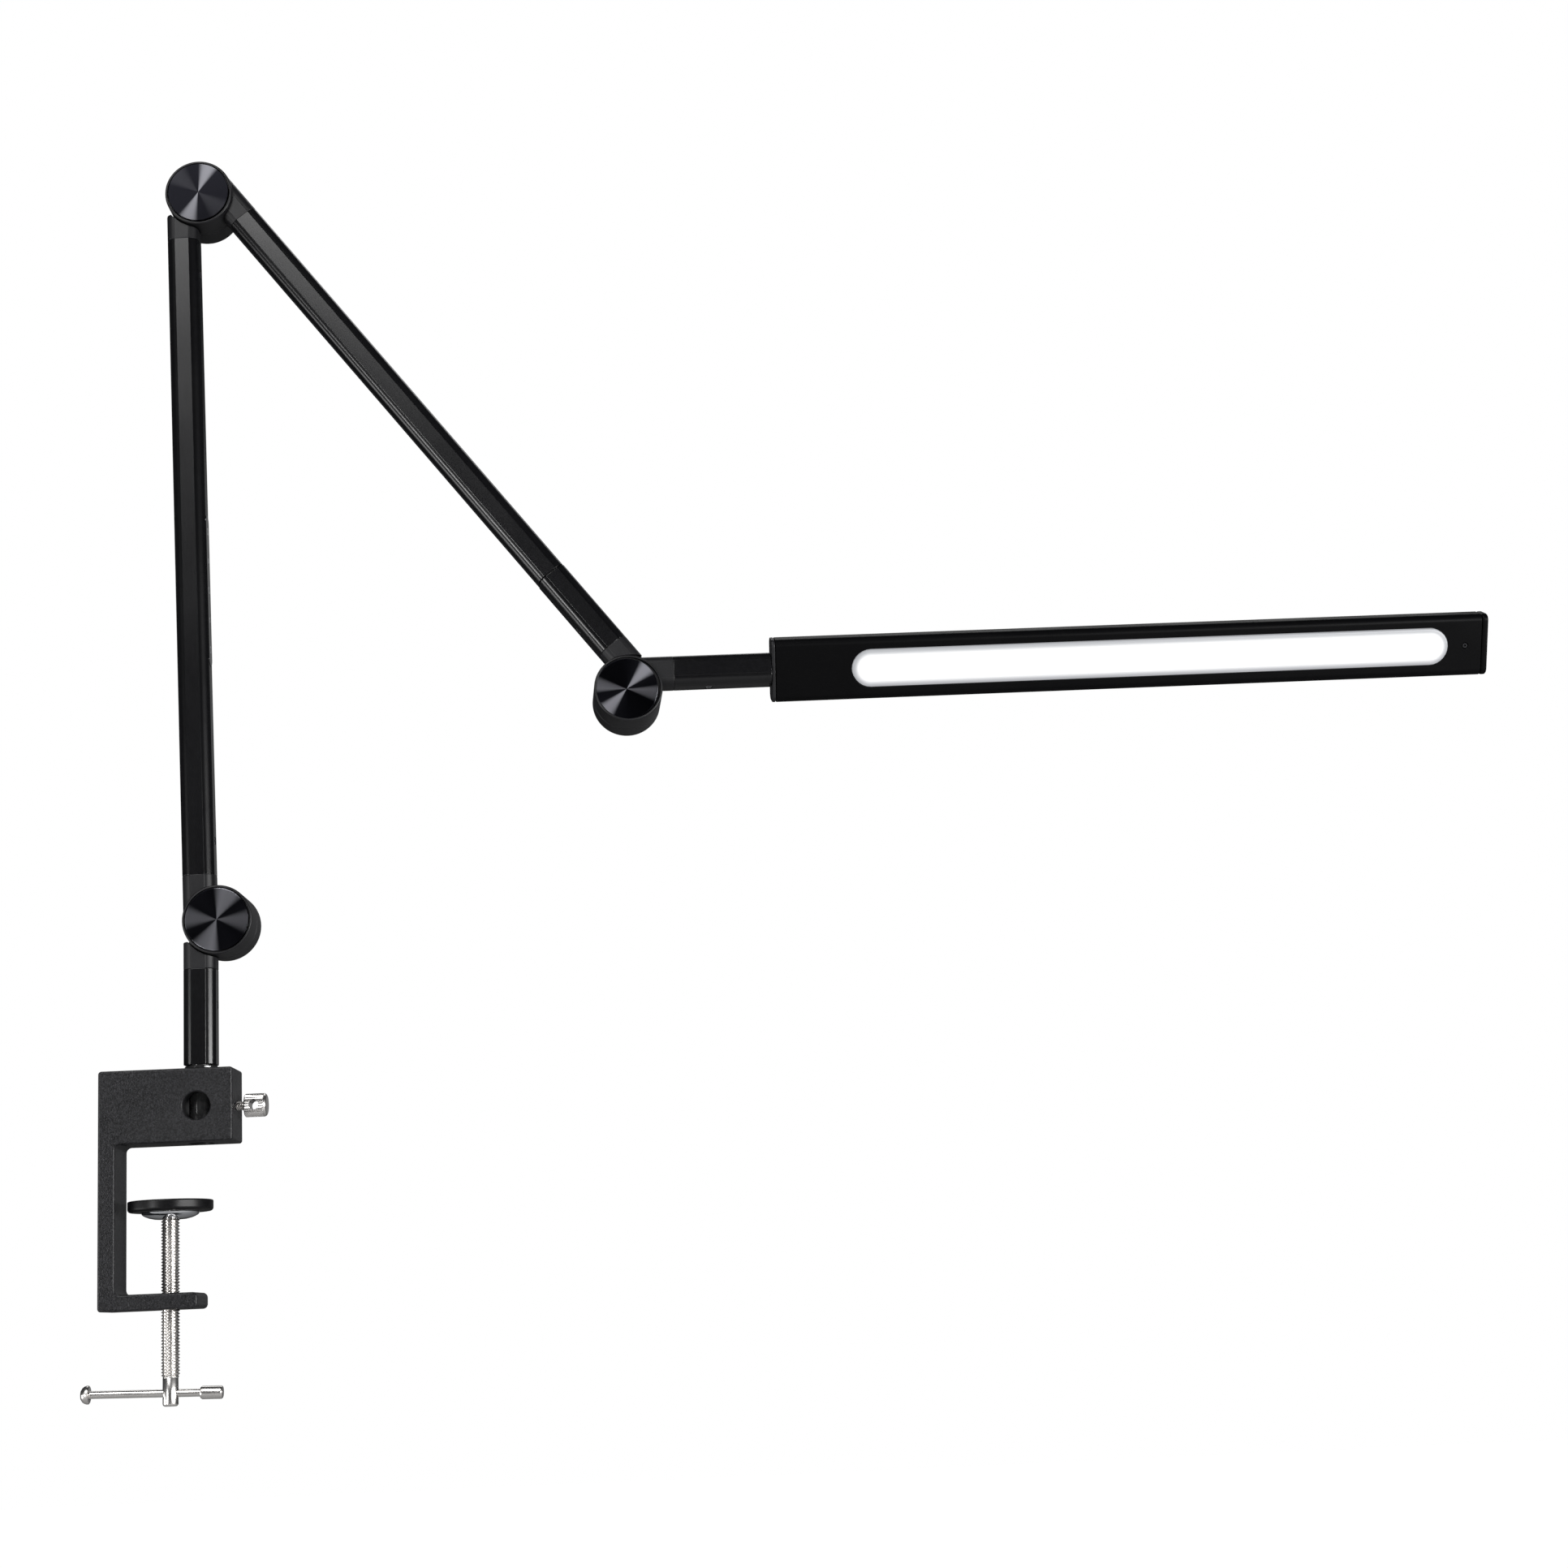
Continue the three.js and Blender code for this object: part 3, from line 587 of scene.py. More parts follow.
coated("polished chrome", "chrome", (0.62, 0.64, 0.68), (0.72, 0.73, 0.76), (0.85, 0.86, 0.88),
       (0.05, 0.14), 700.0, metallic=1.0, bump=0.03, depth=1e-5)
coated("bright nickel", "bright_nickel", (0.80, 0.775, 0.75), (0.88, 0.86, 0.84), (0.93, 0.92, 0.9),
       (0.2, 0.32), 2200.0, metallic=1.0, bump=0.08, depth=2e-5)
coated("zinc plate", "zinc_steel", (0.36, 0.37, 0.39), (0.5, 0.51, 0.53), (0.7, 0.7, 0.7),
       (0.28, 0.42), 1600.0, metallic=1.0, bump=0.12, depth=2e-5)
coated("turned nylon", "white_nylon", (0.62, 0.59, 0.52), (0.72, 0.69, 0.62), (0.78, 0.76, 0.7),
       (0.45, 0.6), 1200.0, bump=0.15, depth=3e-5)
coated("sintered bronze", "bronze_bush", (0.36, 0.21, 0.10), (0.52, 0.32, 0.16), (0.66, 0.45, 0.24),
       (0.35, 0.5), 2600.0, metallic=1.0, bump=0.25, depth=4e-5)
coated("white solder mask", "circuit_board", (0.68, 0.71, 0.69), (0.8, 0.82, 0.8), (0.85, 0.86, 0.84),
       (0.35, 0.5), 1800.0, bump=0.1, depth=2e-5)
coated("wire jacket", "wire_jacket", (0.009, 0.009, 0.010), (0.015, 0.015, 0.016), (0.03, 0.03, 0.03),
       (0.45, 0.6), 900.0, bump=0.15, depth=3e-5)
coated("blued screw steel", "zinc_steel", (0.02, 0.02, 0.022), (0.04, 0.04, 0.044), (0.09, 0.09, 0.095),
       (0.24, 0.34), 1600.0, metallic=1.0, bump=0.1, depth=2e-5)
# Each cap's painted highlight fans: (angle, half width) of each fan, the second fan's strength and the
# fans' brightness.
spun("spun cap with painted fans at the base", (67, 30), (174, 26), 0.3, 0.32)
spun("spun cap with painted fans at the elbow", (69, 21), (-42, 28), 0.1, 0.11)
spun("spun cap with painted fans at the head", (45, 20), (-11, 18), 0.8, 0.27)


def make_touch_glass():
    """Gloss black with a few plain pale marks along it: rings for modes."""
    tree, surface = start_finish("printed touch glass", "touch_glass", Coat_Weight=0.5)
    where = node(tree, "TexCoord")
    split = node(tree, "SeparateXYZ", [(0, where.outputs["Object"])])
    total = None
    middle = TOUCH_FROM + (TOUCH_TO - TOUCH_FROM) / 2
    for height, radius in TOUCH_MARKS:
        up = calculate(tree, "SUBTRACT", split.outputs["Z"], middle + height)
        along = node(tree, "CombineXYZ", [(1, split.outputs["Y"]), (2, up)])
        far = node(tree, "VectorMath", [(0, along.outputs[0])], operation="LENGTH")
        off = calculate(tree, "ABSOLUTE", calculate(tree, "SUBTRACT", far.outputs["Value"], radius))
        ring = node(tree, "MapRange",
                    [("Value", off), ("From Min", 0.0001), ("From Max", 0.00022), ("To Min", 1.0),
                     ("To Max", 0.0)])
        mark = ring.outputs["Result"]
        if total is not None:
            mark = calculate(tree, "MAXIMUM", total, mark)
        total = mark
    colour = blend(tree, total, (0.006, 0.0062, 0.007), (0.42, 0.43, 0.45))
    tree.links.new(colour, surface.inputs["Base Color"])
    sheen = use_group(tree, HANDLING, Low=0.08, High=0.2)
    tree.links.new(sheen.outputs["Roughness"], surface.inputs["Roughness"])


def make_diffuser():
    """Opal plastic lit from inside: white along its middle, with painted shade making it a shade greyer by
    its rim, in its glow and its colour.
    """
    tree, surface = start_finish("lit opal diffuser", "diffuser_white", Emission_Strength=0.62)
    where = node(tree, "TexCoord")
    split = node(tree, "SeparateXYZ", [(0, where.outputs["Object"])])
    low = WINDOW_FROM + WINDOW_WIDTH / 2
    high = WINDOW_TO - WINDOW_WIDTH / 2
    nearest = node(tree, "Clamp", [("Value", split.outputs["Z"]), ("Min", low), ("Max", high)])
    past = calculate(tree, "SUBTRACT", split.outputs["Z"], nearest.outputs[0])
    flat = node(tree, "CombineXYZ", [(0, split.outputs["X"]), (2, past)])
    far = node(tree, "VectorMath", [(0, flat.outputs[0])], operation="LENGTH")
    # Painted shade: a ramp from 1 in the middle to 0 at the rim.
    painted_rim_shade_ramp = node(tree, "MapRange",
                [("Value", far.outputs["Value"]), ("From Min", 0.0036), ("From Max", 0.0076),
                 ("To Min", 1.0), ("To Max", 0.0)], interpolation_type="SMOOTHSTEP")
    haze = node(tree, "TexNoise", [("Vector", where.outputs["Object"]), ("Scale", 60.0)])
    soft = node(tree, "MapRange", [("Value", haze.outputs["Fac"]), ("To Min", 0.97), ("To Max", 1.0)])
    lit = calculate(tree, "MULTIPLY", painted_rim_shade_ramp.outputs["Result"], soft.outputs["Result"])
    # Painted shade: the emitted light is greyer by the rim.
    light = blend(tree, lit, (0.50, 0.51, 0.53), (1.0, 1.0, 1.0))
    tree.links.new(light, surface.inputs["Emission Color"])
    # Painted shade: the plastic's colour is darker by the rim.
    plastic = blend(tree, lit, (0.13, 0.133, 0.14), (0.75, 0.75, 0.75))
    tree.links.new(plastic, surface.inputs["Base Color"])
    sheen = use_group(tree, HANDLING, Low=0.3, High=0.4)
    tree.links.new(sheen.outputs["Roughness"], surface.inputs["Roughness"])


make_touch_glass()
make_diffuser()


# ---- arm pieces, in an arm's own frame ----

def arm_bar(name, width, from_, to, edge=TUBE_EDGE, hollow=False):
    """A square bar or tube along the arm, with eased end edges."""
    rings = [ring_z(tube_outline(width - 2 * inset, TUBE_CORNER, CORNER_STEP), z, (-ARM_OFFSET, 0))
             for z, inset in eased_edge(from_, to, edge, 2)]
    if hollow:
        inner = width - 2 * WALL
        rings += [ring_z(tube_outline(inner, TUBE_CORNER - WALL, CORNER_STEP), z, (-ARM_OFFSET, 0))
                  for z in (to, from_)]
    return loft(name, rings, closed=hollow)


def screw_hole(z):
    return rod("x", SET_SCREW_HOLE, -ARM_OFFSET + 0.002, 0.002, (0, z), 24)


def make_tube(name, from_, to, hole, at, body):
    tube = cut(arm_bar(name, TUBE, from_, to, hollow=True), screw_hole(hole))
    return place(tube, at, body, "blasted black anodising", name)


def rim(face, inward):
    """The rounded lip of a drum round its cap; inward is the way from the face into the drum."""
    outer = [(HINGE_R - RIM_ROUND + RIM_ROUND * math.cos(a),
              face + inward * (RIM_ROUND - RIM_ROUND * math.sin(a)))
             for a in (math.pi / 2 * k / 4 for k in range(5))]
    lip = 0.0002
    inner = [(CAP_R + GAP + lip, face), (CAP_R + GAP, face + inward * lip),
             (CAP_R + GAP, face + inward * (CAP_DEEP + GAP))]
    return outer + inner


def front_drum():
    floor = FRONT_FACE + CAP_DEEP + GAP
    back = SPLIT - GAP / 2
    profile = [(BOLT_BORE, back), (HINGE_R - DRUM_EASE, back), (HINGE_R, back - DRUM_EASE)]
    profile += rim(FRONT_FACE, 1)
    profile += [(BOLT_HEAD_BORE, floor), (BOLT_HEAD_BORE, BOLT_HEAD_FLOOR), (BOLT_BORE, BOLT_HEAD_FLOOR)]
    return lathe("drum", profile, "y", DRUM_SIDES, closed=True)


def back_drum():
    floor = BACK_FACE - CAP_DEEP - GAP
    front = SPLIT + GAP / 2
    profile = [(BOLT_BORE, front + WASHER_DEEP), (WASHER_BORE, front + WASHER_DEEP), (WASHER_BORE, front),
               (HINGE_R - DRUM_EASE, front), (HINGE_R, front + DRUM_EASE)]
    profile += rim(BACK_FACE, -1)
    profile += [(NUT_BORE, floor), (NUT_BORE, NUT_FLOOR), (BOLT_BORE, NUT_FLOOR)]
    return lathe("drum", profile, "y", DRUM_SIDES, closed=True)


def make_front_bracket(name, at, body):
    """The hinge half whose arm leaves along +Z."""
    back = SPLIT - GAP / 2
    strip = arm_bar(name, TUBE, 0, SEAM)
    cut(strip,
        block(-BEYOND, BEYOND / 4, back, BEYOND / 2, -0.001, NECKING),
        rod("y", HINGE_R - STRIP_INTO_DRUM, -BEYOND, back, sides=DRUM_SIDES),
        rod("y", HINGE_R + 2 * GAP, back, BEYOND, sides=DRUM_SIDES))
    return place(fuse(strip, front_drum()), at, body, "charcoal casting", name, crease=BRACKET_CREASE)


def make_back_bracket(name, at, body, stop_angle):
    """The hinge half whose arm leaves along -Z, cut back where the other arm swings to its stop."""
    front = SPLIT + GAP / 2
    strip = arm_bar(name, TUBE, -SEAM, -NECKING)
    cut(strip, rod("y", HINGE_R + 2 * GAP, -BEYOND, front, sides=DRUM_SIDES))
    rear = arm_bar("rear", TUBE, -SEAM + 0.001, -SHOULDER)
    cut(rear, block(-BEYOND, BEYOND / 4, -BEYOND / 2, front, -SEAM - 0.001, 0.001))
    side = [(0.006, -SEAM + 0.001), (BACK_FACE, -NECKING - 0.003), (BACK_FACE, -0.004), (0.006, -0.004)]
    left, right = -ARM_OFFSET - TUBE / 2 + 0.002, -ARM_OFFSET + TUBE / 2 - 0.002
    gusset = loft("gusset", [[(x, y, z) for y, z in side] for x in (left, right)])
    outside = -ARM_OFFSET - TUBE / 2 - GAP
    swing = block(outside, outside + TUBE, -BEYOND, front, 0, SEAM + 0.005)
    fuse(swing, block(outside, outside + TUBE, SPLIT, TUBE / 2 + GAP, NECKING - GAP, SEAM + 0.005))
    cut(swing, rod("y", HINGE_R, -0.03, 0.03, sides=DRUM_SIDES))
    swing.data.transform(Matrix.Rotation(math.radians(-stop_angle), 4, "Y"))
    fuse(strip, rear, gusset)
    cut(strip, rod("y", HINGE_R - STRIP_INTO_DRUM, SPLIT, 0.03, sides=DRUM_SIDES), swing)
    return place(fuse(strip, back_drum()), at, body, "charcoal casting", name, crease=BRACKET_CREASE)


def make_cap(name, back, at, body, finish):
    """A spun disc with a broken edge, a hair proud of its drum."""
    edge = 0.00028
    face, out = (BACK_FACE, 1) if back else (FRONT_FACE, -1)
    profile = [(0, face - out * CAP_DEEP), (CAP_R, face - out * CAP_DEEP),
               (CAP_R, face + out * (CAP_PROUD - edge)),
               (CAP_R - edge * 0.4, face + out * (CAP_PROUD - edge * 0.25)),
               (CAP_R - edge, face + out * CAP_PROUD), (0.0008, face + out * CAP_PROUD),
               (0, face + out * (CAP_PROUD - 0.0001))]
    upright = Matrix.Translation(at.translation)
    return place(lathe(name, profile, "y", DRUM_SIDES), upright, body, finish, name, crease=24,
                 own_frame=True)


def make_hinge(name, parent_at, parent_body, child_at, child_body, finish):
    make_cap(name + "_front_cap", False, child_at, child_body, finish)
    make_cap(name + "_back_cap", True, parent_at, parent_body, finish)


# ---- clamp ----

def thread(name, radius, root, pitch, from_, to, axis, centre=(0.0, 0.0), sides=40, per_turn=8):
    """A right-hand screw thread, its ends run out to the root."""
    steps = max(2, round(abs(to - from_) / pitch * per_turn))
    rings = []
    for i in range(steps + 1):
        height = from_ + (to - from_) * i / steps
        fade = min(1.0, i / per_turn, (steps - i) / per_turn)
        ring = []
        for k in range(sides):
            angle = 2 * math.pi * k / sides
            phase = (height / pitch - k / sides) % 1.0
            crest = 1 - abs(2 * phase - 1)
            tall = min(1.0, max(0.0, crest * 1.35 - 0.12))
            r = root + (radius - root) * tall * fade
            u, v = r * math.cos(angle), r * math.sin(angle)
            if axis == "z":
                ring.append((u + centre[0], v + centre[1], height))
            else:
                ring.append((height, u + centre[0], v + centre[1]))
        rings.append(ring)
    return loft(name, rings)


def make_clamp():
    corners = [
        (CLAMP_LEFT, JAW_BOTTOM, 0.0013), (JAW_END, JAW_BOTTOM, 0.0019), (JAW_END, JAW_TOP, 0.0021),
        (SPINE_FACE, JAW_TOP, 0.0022), (SPINE_FACE, 0, 0.0022), (CLAMP_RIGHT, 0, 0.0011),
        (CLAMP_RIGHT, BLOCK_TOP, 0.0011), (CLAMP_LEFT, BLOCK_TOP, 0.0013),
    ]
    rings = [[(u, y, v) for u, v in rounded_polygon(corners, inset)]
             for y, inset in eased_edge(-CLAMP_DEPTH / 2, CLAMP_DEPTH / 2, CLAMP_EDGE)]
    body = loft("clamp_body", rings)
    ease = 0.0004
    half = CLAMP_DEPTH / 2
    cross = [(CROSS_BORE_R + 2 * ease, -half - ease), (CROSS_BORE_R, -half + ease),
             (CROSS_BORE_R, half - ease), (CROSS_BORE_R + 2 * ease, half + ease)]
    cut(body,
        rod("z", STEM_R + GAP, -0.01, 0.05, (POLE_X, 0)),
        lathe("tool", cross, "y", 72, (POLE_X, LOCK_Z)),
        rod("x", LOCK_SCREW_R + GAP, POLE_X, 0.04, (0, LOCK_Z), 32),
        rod("z", SPINDLE_R + GAP, -0.08, -0.05, sides=48))
    place(body, CLAMP, "clamp", "speckled powder coat", "clamp_body", crease=26)


def make_lock_screw():
    """An M4 shank and a ribbed knob; each profile point also says whether the ribs show there."""
    rib_deep = 0.00022
    stem_face = POLE_X + STEM_R
    shank = thread("lock_screw", LOCK_SCREW_R, LOCK_SCREW_R - 0.00035, LOCK_PITCH, stem_face + 0.0022,
                   KNOB_FROM + 0.0006, "x", (0, LOCK_Z), sides=28)
    dome = 0.0014
    profile = [(KNOB_R - 0.0005, KNOB_FROM, 0), (KNOB_R, KNOB_FROM + 0.0004, 1),
               (KNOB_R, KNOB_TO - dome, 1)]
    profile += [(r, x, 0) for r, x in arc((KNOB_R - dome, KNOB_TO - dome), dome, 12, 90, 5)]
    profile = [(AXIS_R, KNOB_FROM, 0)] + profile + [(AXIS_R, KNOB_TO, 0)]
    sides = KNOB_RIBS * 6
    rings = []
    for radius, x, ribbed in profile:
        ring = []
        for k in range(sides):
            angle = 2 * math.pi * k / sides
            dip = rib_deep * ribbed * (0.5 + 0.5 * math.cos(angle * KNOB_RIBS)) ** 0.6
            ring.append((x, (radius - dip) * math.cos(angle), LOCK_Z + (radius - dip) * math.sin(angle)))
        rings.append(ring)
    knob = cut(loft("knob", rings), rod("y", TOMMY_HOLE_R, -0.01, 0.01, (KNOB_FROM + 0.0041, LOCK_Z), 40))
    place(gather(shank, knob), CLAMP, "lock_knob", "bright nickel", "lock_screw", crease=24,
          flats=False)


def make_pad():
    edge = 0.0014
    top_edge = 0.0006
    profile = [(0, PAD_BOTTOM), (PAD_R - edge, PAD_BOTTOM)]
    profile += arc((PAD_R - edge, PAD_BOTTOM + edge), edge, -90, 0, 6)
    profile += [(PAD_R, PAD_TOP - top_edge)]
    profile += arc((PAD_R - top_edge, PAD_TOP - top_edge), top_edge, 0, 90, 4)
    profile += [(0.014, PAD_TOP), (0.0138, PAD_TOP - 0.0002), (0.0132, PAD_TOP - 0.0002), (0.013, PAD_TOP),
                (0, PAD_TOP)]
    place(lathe("pad_disc", profile, sides=96), CLAMP, "pad", "satin rubber", "pad_disc", crease=40)
    cup = [(0.0043, -0.0303), (0.0066, -0.03015), (0.0086, -0.0297), (0.0101, -0.0291), (0.011, -0.0286),
           (0.0115, -0.0281), (0.0117, -0.0275), (0.0107, -0.0275), (0.0105, -0.0279), (0.0102, -0.0281),
           (0.0092, -0.0285), (0.008, -0.0288), (0.0043, -0.0293)]
    place(lathe("pad_cup", cup, sides=80, closed=True), CLAMP, "pad", "polished chrome", "pad_cup",
          crease=50)


def make_spindle():
    screw = thread("clamp_spindle", SPINDLE_R, SPINDLE_ROOT_R, SPINDLE_PITCH, THREAD_END + 0.0002,
                   THREAD_TOP, "z")
    tail = 0.0011
    profile = [(0, SPINDLE_END)] + arc((SPINDLE_TAIL_R - tail, SPINDLE_END + tail), tail, -90, 0, 5)
    profile += [(SPINDLE_TAIL_R, THREAD_END + 0.0002), (SPINDLE_ROOT_R - 0.0002, THREAD_END + 0.0006),
                (0, THREAD_END + 0.0006)]
    foot = cut(lathe("foot", profile), rod("x", BAR_R + GAP, -0.01, 0.01, (0, BAR_Z), 40))
    collar = [(0, -0.0291), (0.0033, -0.0291), (0.006, -0.0285), (0.006, -0.0276), (0, -0.0276)]
    place(gather(screw, foot, lathe("collar", collar)), CLAMP, "spindle", "bright nickel",
          "clamp_spindle", crease=38, flats=False)


def make_tommy_bar():
    flange = [(0, 0.0), (0.0011, 0.00008), (0.002, 0.0003), (0.0029, 0.0009), (0.0034, 0.0016),
              (BAR_FLANGE_R, 0.0024), (BAR_FLANGE_R, 0.0033), (BAR_FLANGE_R - 0.0004, 0.0036),
              (0.0022, 0.00365), (BAR_R, 0.0038)]
    profile = [(radius, BAR_LEFT + along) for radius, along in flange]
    profile += [(BAR_R, BAR_RIGHT - 0.002), (0, BAR_RIGHT - 0.002)]
    place(lathe("tommy_bar", profile, "x", 56), BAR, "bar", "bright nickel", "tommy_bar")
    start = BAR_RIGHT - BAR_SLEEVE_LENGTH
    dome = 0.0009
    bore = BAR_R + 0.00002
    sleeve = [(bore, start), (BAR_SLEEVE_R - 0.0005, start), (BAR_SLEEVE_R, start + 0.0007),
              (BAR_SLEEVE_R, BAR_RIGHT - dome)]
    sleeve += arc((BAR_SLEEVE_R - dome, BAR_RIGHT - dome), dome, 0, 90, 5)[1:]
    sleeve += [(0, BAR_RIGHT), (0, BAR_RIGHT - 0.0018), (bore, BAR_RIGHT - 0.0018)]
    place(lathe("tommy_bar_sleeve", sleeve, "x", 56, closed=True), BAR, "bar", "bright nickel",
          "tommy_bar_sleeve")


# ---- pole, arms and head ----

def make_pole():
    foot = POLE_FOOT - BASE_HINGE[2]
    bottom = STEM_BOTTOM - BASE_HINGE[2]
    inlet = 0.003
    deep = bottom + 0.011
    stem = [(inlet, bottom), (STEM_R - 0.0005, bottom), (STEM_R, bottom + 0.0005), (STEM_R, foot + 0.0001),
            (0, foot + 0.0001), (0, deep), (inlet, deep)]
    place(lathe("pole_stem", stem, centre=(-ARM_OFFSET, 0), closed=True), POLE, "pole",
          "gloss black plating", "pole_stem")
    top = BLOCK_TOP + GAP - BASE_HINGE[2]
    collar = [(STEM_R + GAP, top), (0.0063, top), (0.0067, top + 0.0003), (0.0067, top + 0.0009),
              (0.0064, top + 0.0012), (STEM_R + GAP, top + 0.0012)]
    place(lathe("pole_collar", collar, centre=(-ARM_OFFSET, 0), closed=True), POLE, "pole",
          "gloss black plating", "pole_collar")
    make_tube("pole_tube", foot, -SEAM, -SET_SCREW_AT, POLE, "pole")
    make_back_bracket("pole_bracket", POLE, "pole", ARM_STOP)


def stadium(width, length, from_z, grow=0.0, steps=14):
    """(x, z) points of a slot's outline, round at both ends."""
    radius = width / 2 + grow
    low, high = from_z + width / 2, from_z + length - width / 2
    return arc((0, high), radius, 0, 180, steps) + arc((0, low), radius, 180, 360, steps)


def make_lower_arm():
    make_front_bracket("lower_arm_base_bracket", LOWER, "lower_arm")
    tube = arm_bar("lower_arm_tube", TUBE, SEAM, LOWER_ARM - SEAM, hollow=True)
    face = -ARM_OFFSET + TUBE / 2
    length = TOUCH_TO - TOUCH_FROM
    pocket = loft("tool", [[(x, u, z) for u, z in stadium(TOUCH_WIDTH, length, TOUCH_FROM, GAP * 0.7)]
                           for x in (face - 0.004, face + 0.004)])
    cut(tube, screw_hole(SET_SCREW_AT), screw_hole(LOWER_ARM - SET_SCREW_AT), pocket)
    place(tube, LOWER, "lower_arm", "blasted black anodising", "lower_arm_tube")
    shape = [(-0.0014, 0.0), (0.00005, 0.0), (0.00015, 0.00006), (0.0002, 0.0002)]
    rings = [[(face + x, u, z) for u, z in stadium(TOUCH_WIDTH, length, TOUCH_FROM, -inset)]
             for x, inset in shape]
    place(loft("touch_panel", rings), LOWER, "lower_arm", "printed touch glass", "touch_panel",
          own_frame=True)
    make_back_bracket("lower_arm_top_bracket", ELBOW, "lower_arm", ARM_STOP)


def make_upper_arm():
    make_front_bracket("upper_arm_top_bracket", UPPER, "upper_arm")
    make_tube("upper_arm_tube", SEAM, WRIST_SEAM - GAP / 2, SET_SCREW_AT, UPPER, "upper_arm")
    make_tube("wrist_tube", WRIST_SEAM - UPPER_ARM + GAP / 2, -SEAM, -SET_SCREW_AT, WRIST, "wrist")
    make_back_bracket("wrist_bracket", WRIST, "wrist", HEAD_STOP)
    make_front_bracket("neck_bracket", NECK, "neck")
    make_tube("neck_tube", SEAM, HEAD_FROM - GAP, SET_SCREW_AT, NECK, "neck")


def head_rings(from_, to, edge, steps=4):
    return [ring_z(rounded_box(HEAD_WIDTH - 2 * inset, HEAD_THICK - 2 * inset, HEAD_CORNER - inset, 8), z)
            for z, inset in eased_edge(from_, to, edge, steps)]


def make_head():
    face = -HEAD_THICK / 2
    body_from = HEAD_FROM + END_PLATE + 0.0001
    body_to = HEAD_TO - END_CAP - 0.0001
    length = WINDOW_TO - WINDOW_FROM
    steps = ((-0.002, 0.0003), (-0.0001, 0.0003), (0.0003, 0), (0.005, 0))
    pocket = loft("tool", [[(u, face + y, z) for u, z in stadium(WINDOW_WIDTH, length, WINDOW_FROM, grow)]
                           for y, grow in steps])
    hole = [(0.0017, face - 0.0002), (0.0013, face + 0.0002), (0.0013, face + 0.003)]
    screw = lathe("tool", hole, "y", 32, (0, body_to - 0.0072))
    housing = cut(loft("head_housing", head_rings(body_from, body_to, 0.00015, 2)), pocket, screw)
    place(housing, HEAD, "head", "head black anodising", "head_housing")
    plate = loft("head_inner_plate", head_rings(HEAD_FROM, HEAD_FROM + END_PLATE - 0.0002, 0.0003, 2))
    place(plate, HEAD, "head", "charcoal casting", "head_inner_plate")
    cap = loft("head_end_cap", head_rings(HEAD_TO - END_CAP + 0.0002, HEAD_TO, 0.0009))
    place(cap, HEAD, "head", "head black anodising", "head_end_cap")
    shape = [(0.0026, 0.0003), (0.0005, 0.0003), (0.0003, 0.00045), (0.0001, 0.0009), (0.0, 0.0016),
             (-0.00006, 0.0028), (-0.0001, 0.0046)]
    rings = [[(u, face + y, z) for u, z in stadium(WINDOW_WIDTH, length, WINDOW_FROM, -inset)]
             for y, inset in shape]
    place(loft("diffuser", rings), HEAD, "head", "lit opal diffuser", "diffuser", crease=60, own_frame=True)


make_clamp()
make_lock_screw()
make_pad()
make_spindle()
make_tommy_bar()
make_pole()
make_lower_arm()
make_upper_arm()
make_head()
make_hinge("base_hinge", POLE, "pole", LOWER, "lower_arm", "spun cap with painted fans at the base")
make_hinge("elbow_hinge", ELBOW, "lower_arm", UPPER, "upper_arm", "spun cap with painted fans at the elbow")
make_hinge("head_hinge", WRIST, "wrist", NECK, "neck", "spun cap with painted fans at the head")

# ---- finishes of the CAD parts ----

slot_finish = {}
own_finish = {"head_screw": finishes["blued screw steel"]}
for finish_name, slot_name in slots.items():
    slot_finish.setdefault(slot_name, finishes[finish_name])
for part in frame["record"]["subparts"]:
    node_object = frame["nodes"][part["node"]]
    node_object.data.materials.clear()
    node_object.data.materials.append(own_finish.get(part["node"], slot_finish[part["material_slot"]]))

# ---- studio ----


def make_stage():
    """A floor that lights the lamp from below and is plain white to the camera."""
    floor = bpy.data.materials.new("pale floor")
    floor.use_nodes = True
    surface = floor.node_tree.nodes["Principled BSDF"]
    surface.inputs["Base Color"].default_value = (0.42, 0.42, 0.42, 1)
    surface.inputs["Roughness"].default_value = 0.9
    tree = floor.node_tree
    path = node(tree, "LightPath")
    lift = node(tree, "Emission", [("Color", (1, 1, 1, 1)), ("Strength", BACKDROP)])
    unlit = node(tree, "Emission", [("Strength", 0.0)])
    seen = node(tree, "MixShader",
                [(0, path.outputs["Is Camera Ray"]), (1, unlit.outputs[0]), (2, lift.outputs[0])])
    total = node(tree, "AddShader", [(0, surface.outputs[0]), (1, seen.outputs[0])])
    tree.links.new(total.outputs[0], tree.nodes["Material Output"].inputs["Surface"])
    half = FLOOR_HALF
    corners = [(-half, -half, FLOOR), (half, -half, FLOOR), (half, half, FLOOR), (-half, half, FLOOR)]
    plane = new_object("floor", corners, [(0, 1, 2, 3)])
    plane.data.materials.append(floor)


def make_softbox(name, position, target, width, height, power):
    lamp = bpy.data.lights.new(name, "AREA")
    lamp.shape = "RECTANGLE"
    lamp.size = width
    lamp.size_y = height
    lamp.energy = power
    obj = bpy.data.objects.new(name, lamp)
    bpy.context.scene.collection.objects.link(obj)
    obj.visible_camera = False
    obj.location = position
    obj.rotation_euler = (Vector(target) - Vector(position)).to_track_quat("-Z", "Y").to_euler()


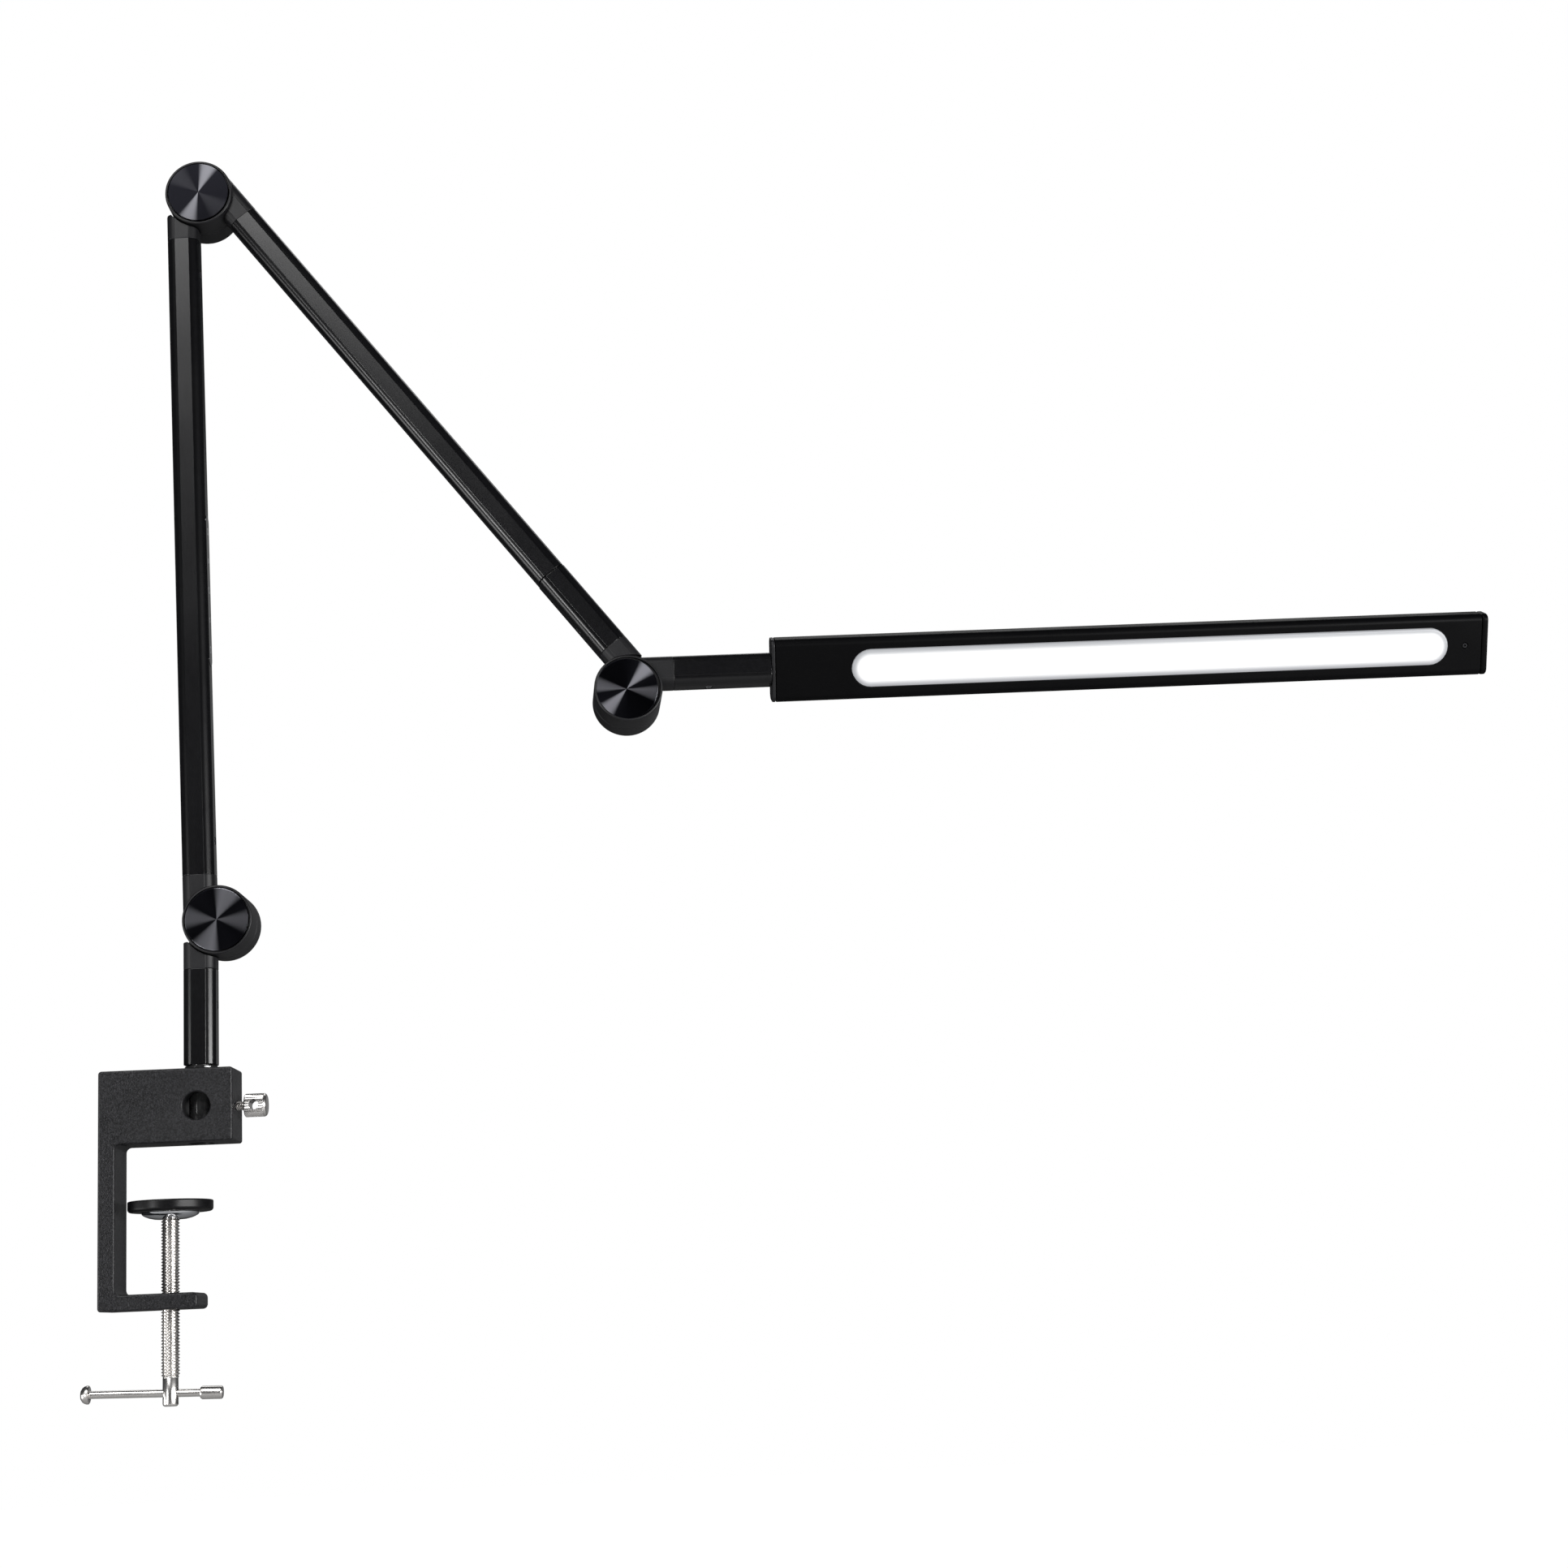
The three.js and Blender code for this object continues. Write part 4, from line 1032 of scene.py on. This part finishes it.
def make_sky():
    world = bpy.data.worlds.new("studio")
    bpy.context.scene.world = world
    world.use_nodes = True
    tree = world.node_tree
    seen = tree.nodes["Background"]
    seen.inputs["Color"].default_value = (1, 1, 1, 1)
    seen.inputs["Strength"].default_value = BACKDROP
    room = node(tree, "Background", [("Color", (0.92, 0.95, 1.0, 1)), ("Strength", 0.035)])
    path = node(tree, "LightPath")
    mix = node(tree, "MixShader",
               [(0, path.outputs["Is Camera Ray"]), (1, room.outputs[0]), (2, seen.outputs[0])])
    tree.links.new(mix.outputs[0], tree.nodes["World Output"].inputs["Surface"])


def make_camera():
    yaw, pitch, roll = CAMERA_YAW, CAMERA_PITCH, CAMERA_ROLL
    forward = Vector((math.sin(yaw) * math.cos(pitch), math.cos(yaw) * math.cos(pitch), math.sin(pitch)))
    right = Vector((math.cos(yaw), -math.sin(yaw), 0))
    down = forward.cross(right)
    across = math.cos(roll) * right + math.sin(roll) * down
    up = math.sin(roll) * right - math.cos(roll) * down
    data = bpy.data.cameras.new("camera")
    data.sensor_width = 36
    data.lens = CAMERA_LENS
    data.clip_start = 0.05
    camera = bpy.data.objects.new("camera", data)
    bpy.context.scene.collection.objects.link(camera)
    turn = Matrix((across, up, -forward)).transposed().to_4x4()
    camera.matrix_world = Matrix.Translation(CAMERA_AT) @ turn
    bpy.context.scene.camera = camera


make_stage()
make_sky()
for softbox in (
        ("overhead front", (-0.7, -2.2, 2.05), (0.0, 0, 0.3), 1.4, 1.4, 42),
        ("right front band", (1.8, -1.2, 0.1), (0.05, 0, 0.1), 1.9, 0.3, 46),
        ("front left strip", (-1.2, -1.6, -0.12), (0.1, 0, 0.15), 0.3, 0.6, 12),
        ("low left box", (-1.65, -0.25, -0.4), (0.1, 0, 0.2), 0.9, 0.6, 8),
        ("rear right wall", (0.6, 2.4, 0.4), (0.1, 0, 0.2), 1.6, 1.4, 1.2),
        ("top back", (0.2, 1.3, 1.6), (0.2, 0, 0.2), 1.8, 0.8, 6),
):
    make_softbox(*softbox)
bpy.context.scene.view_settings.view_transform = "Standard"
make_camera()
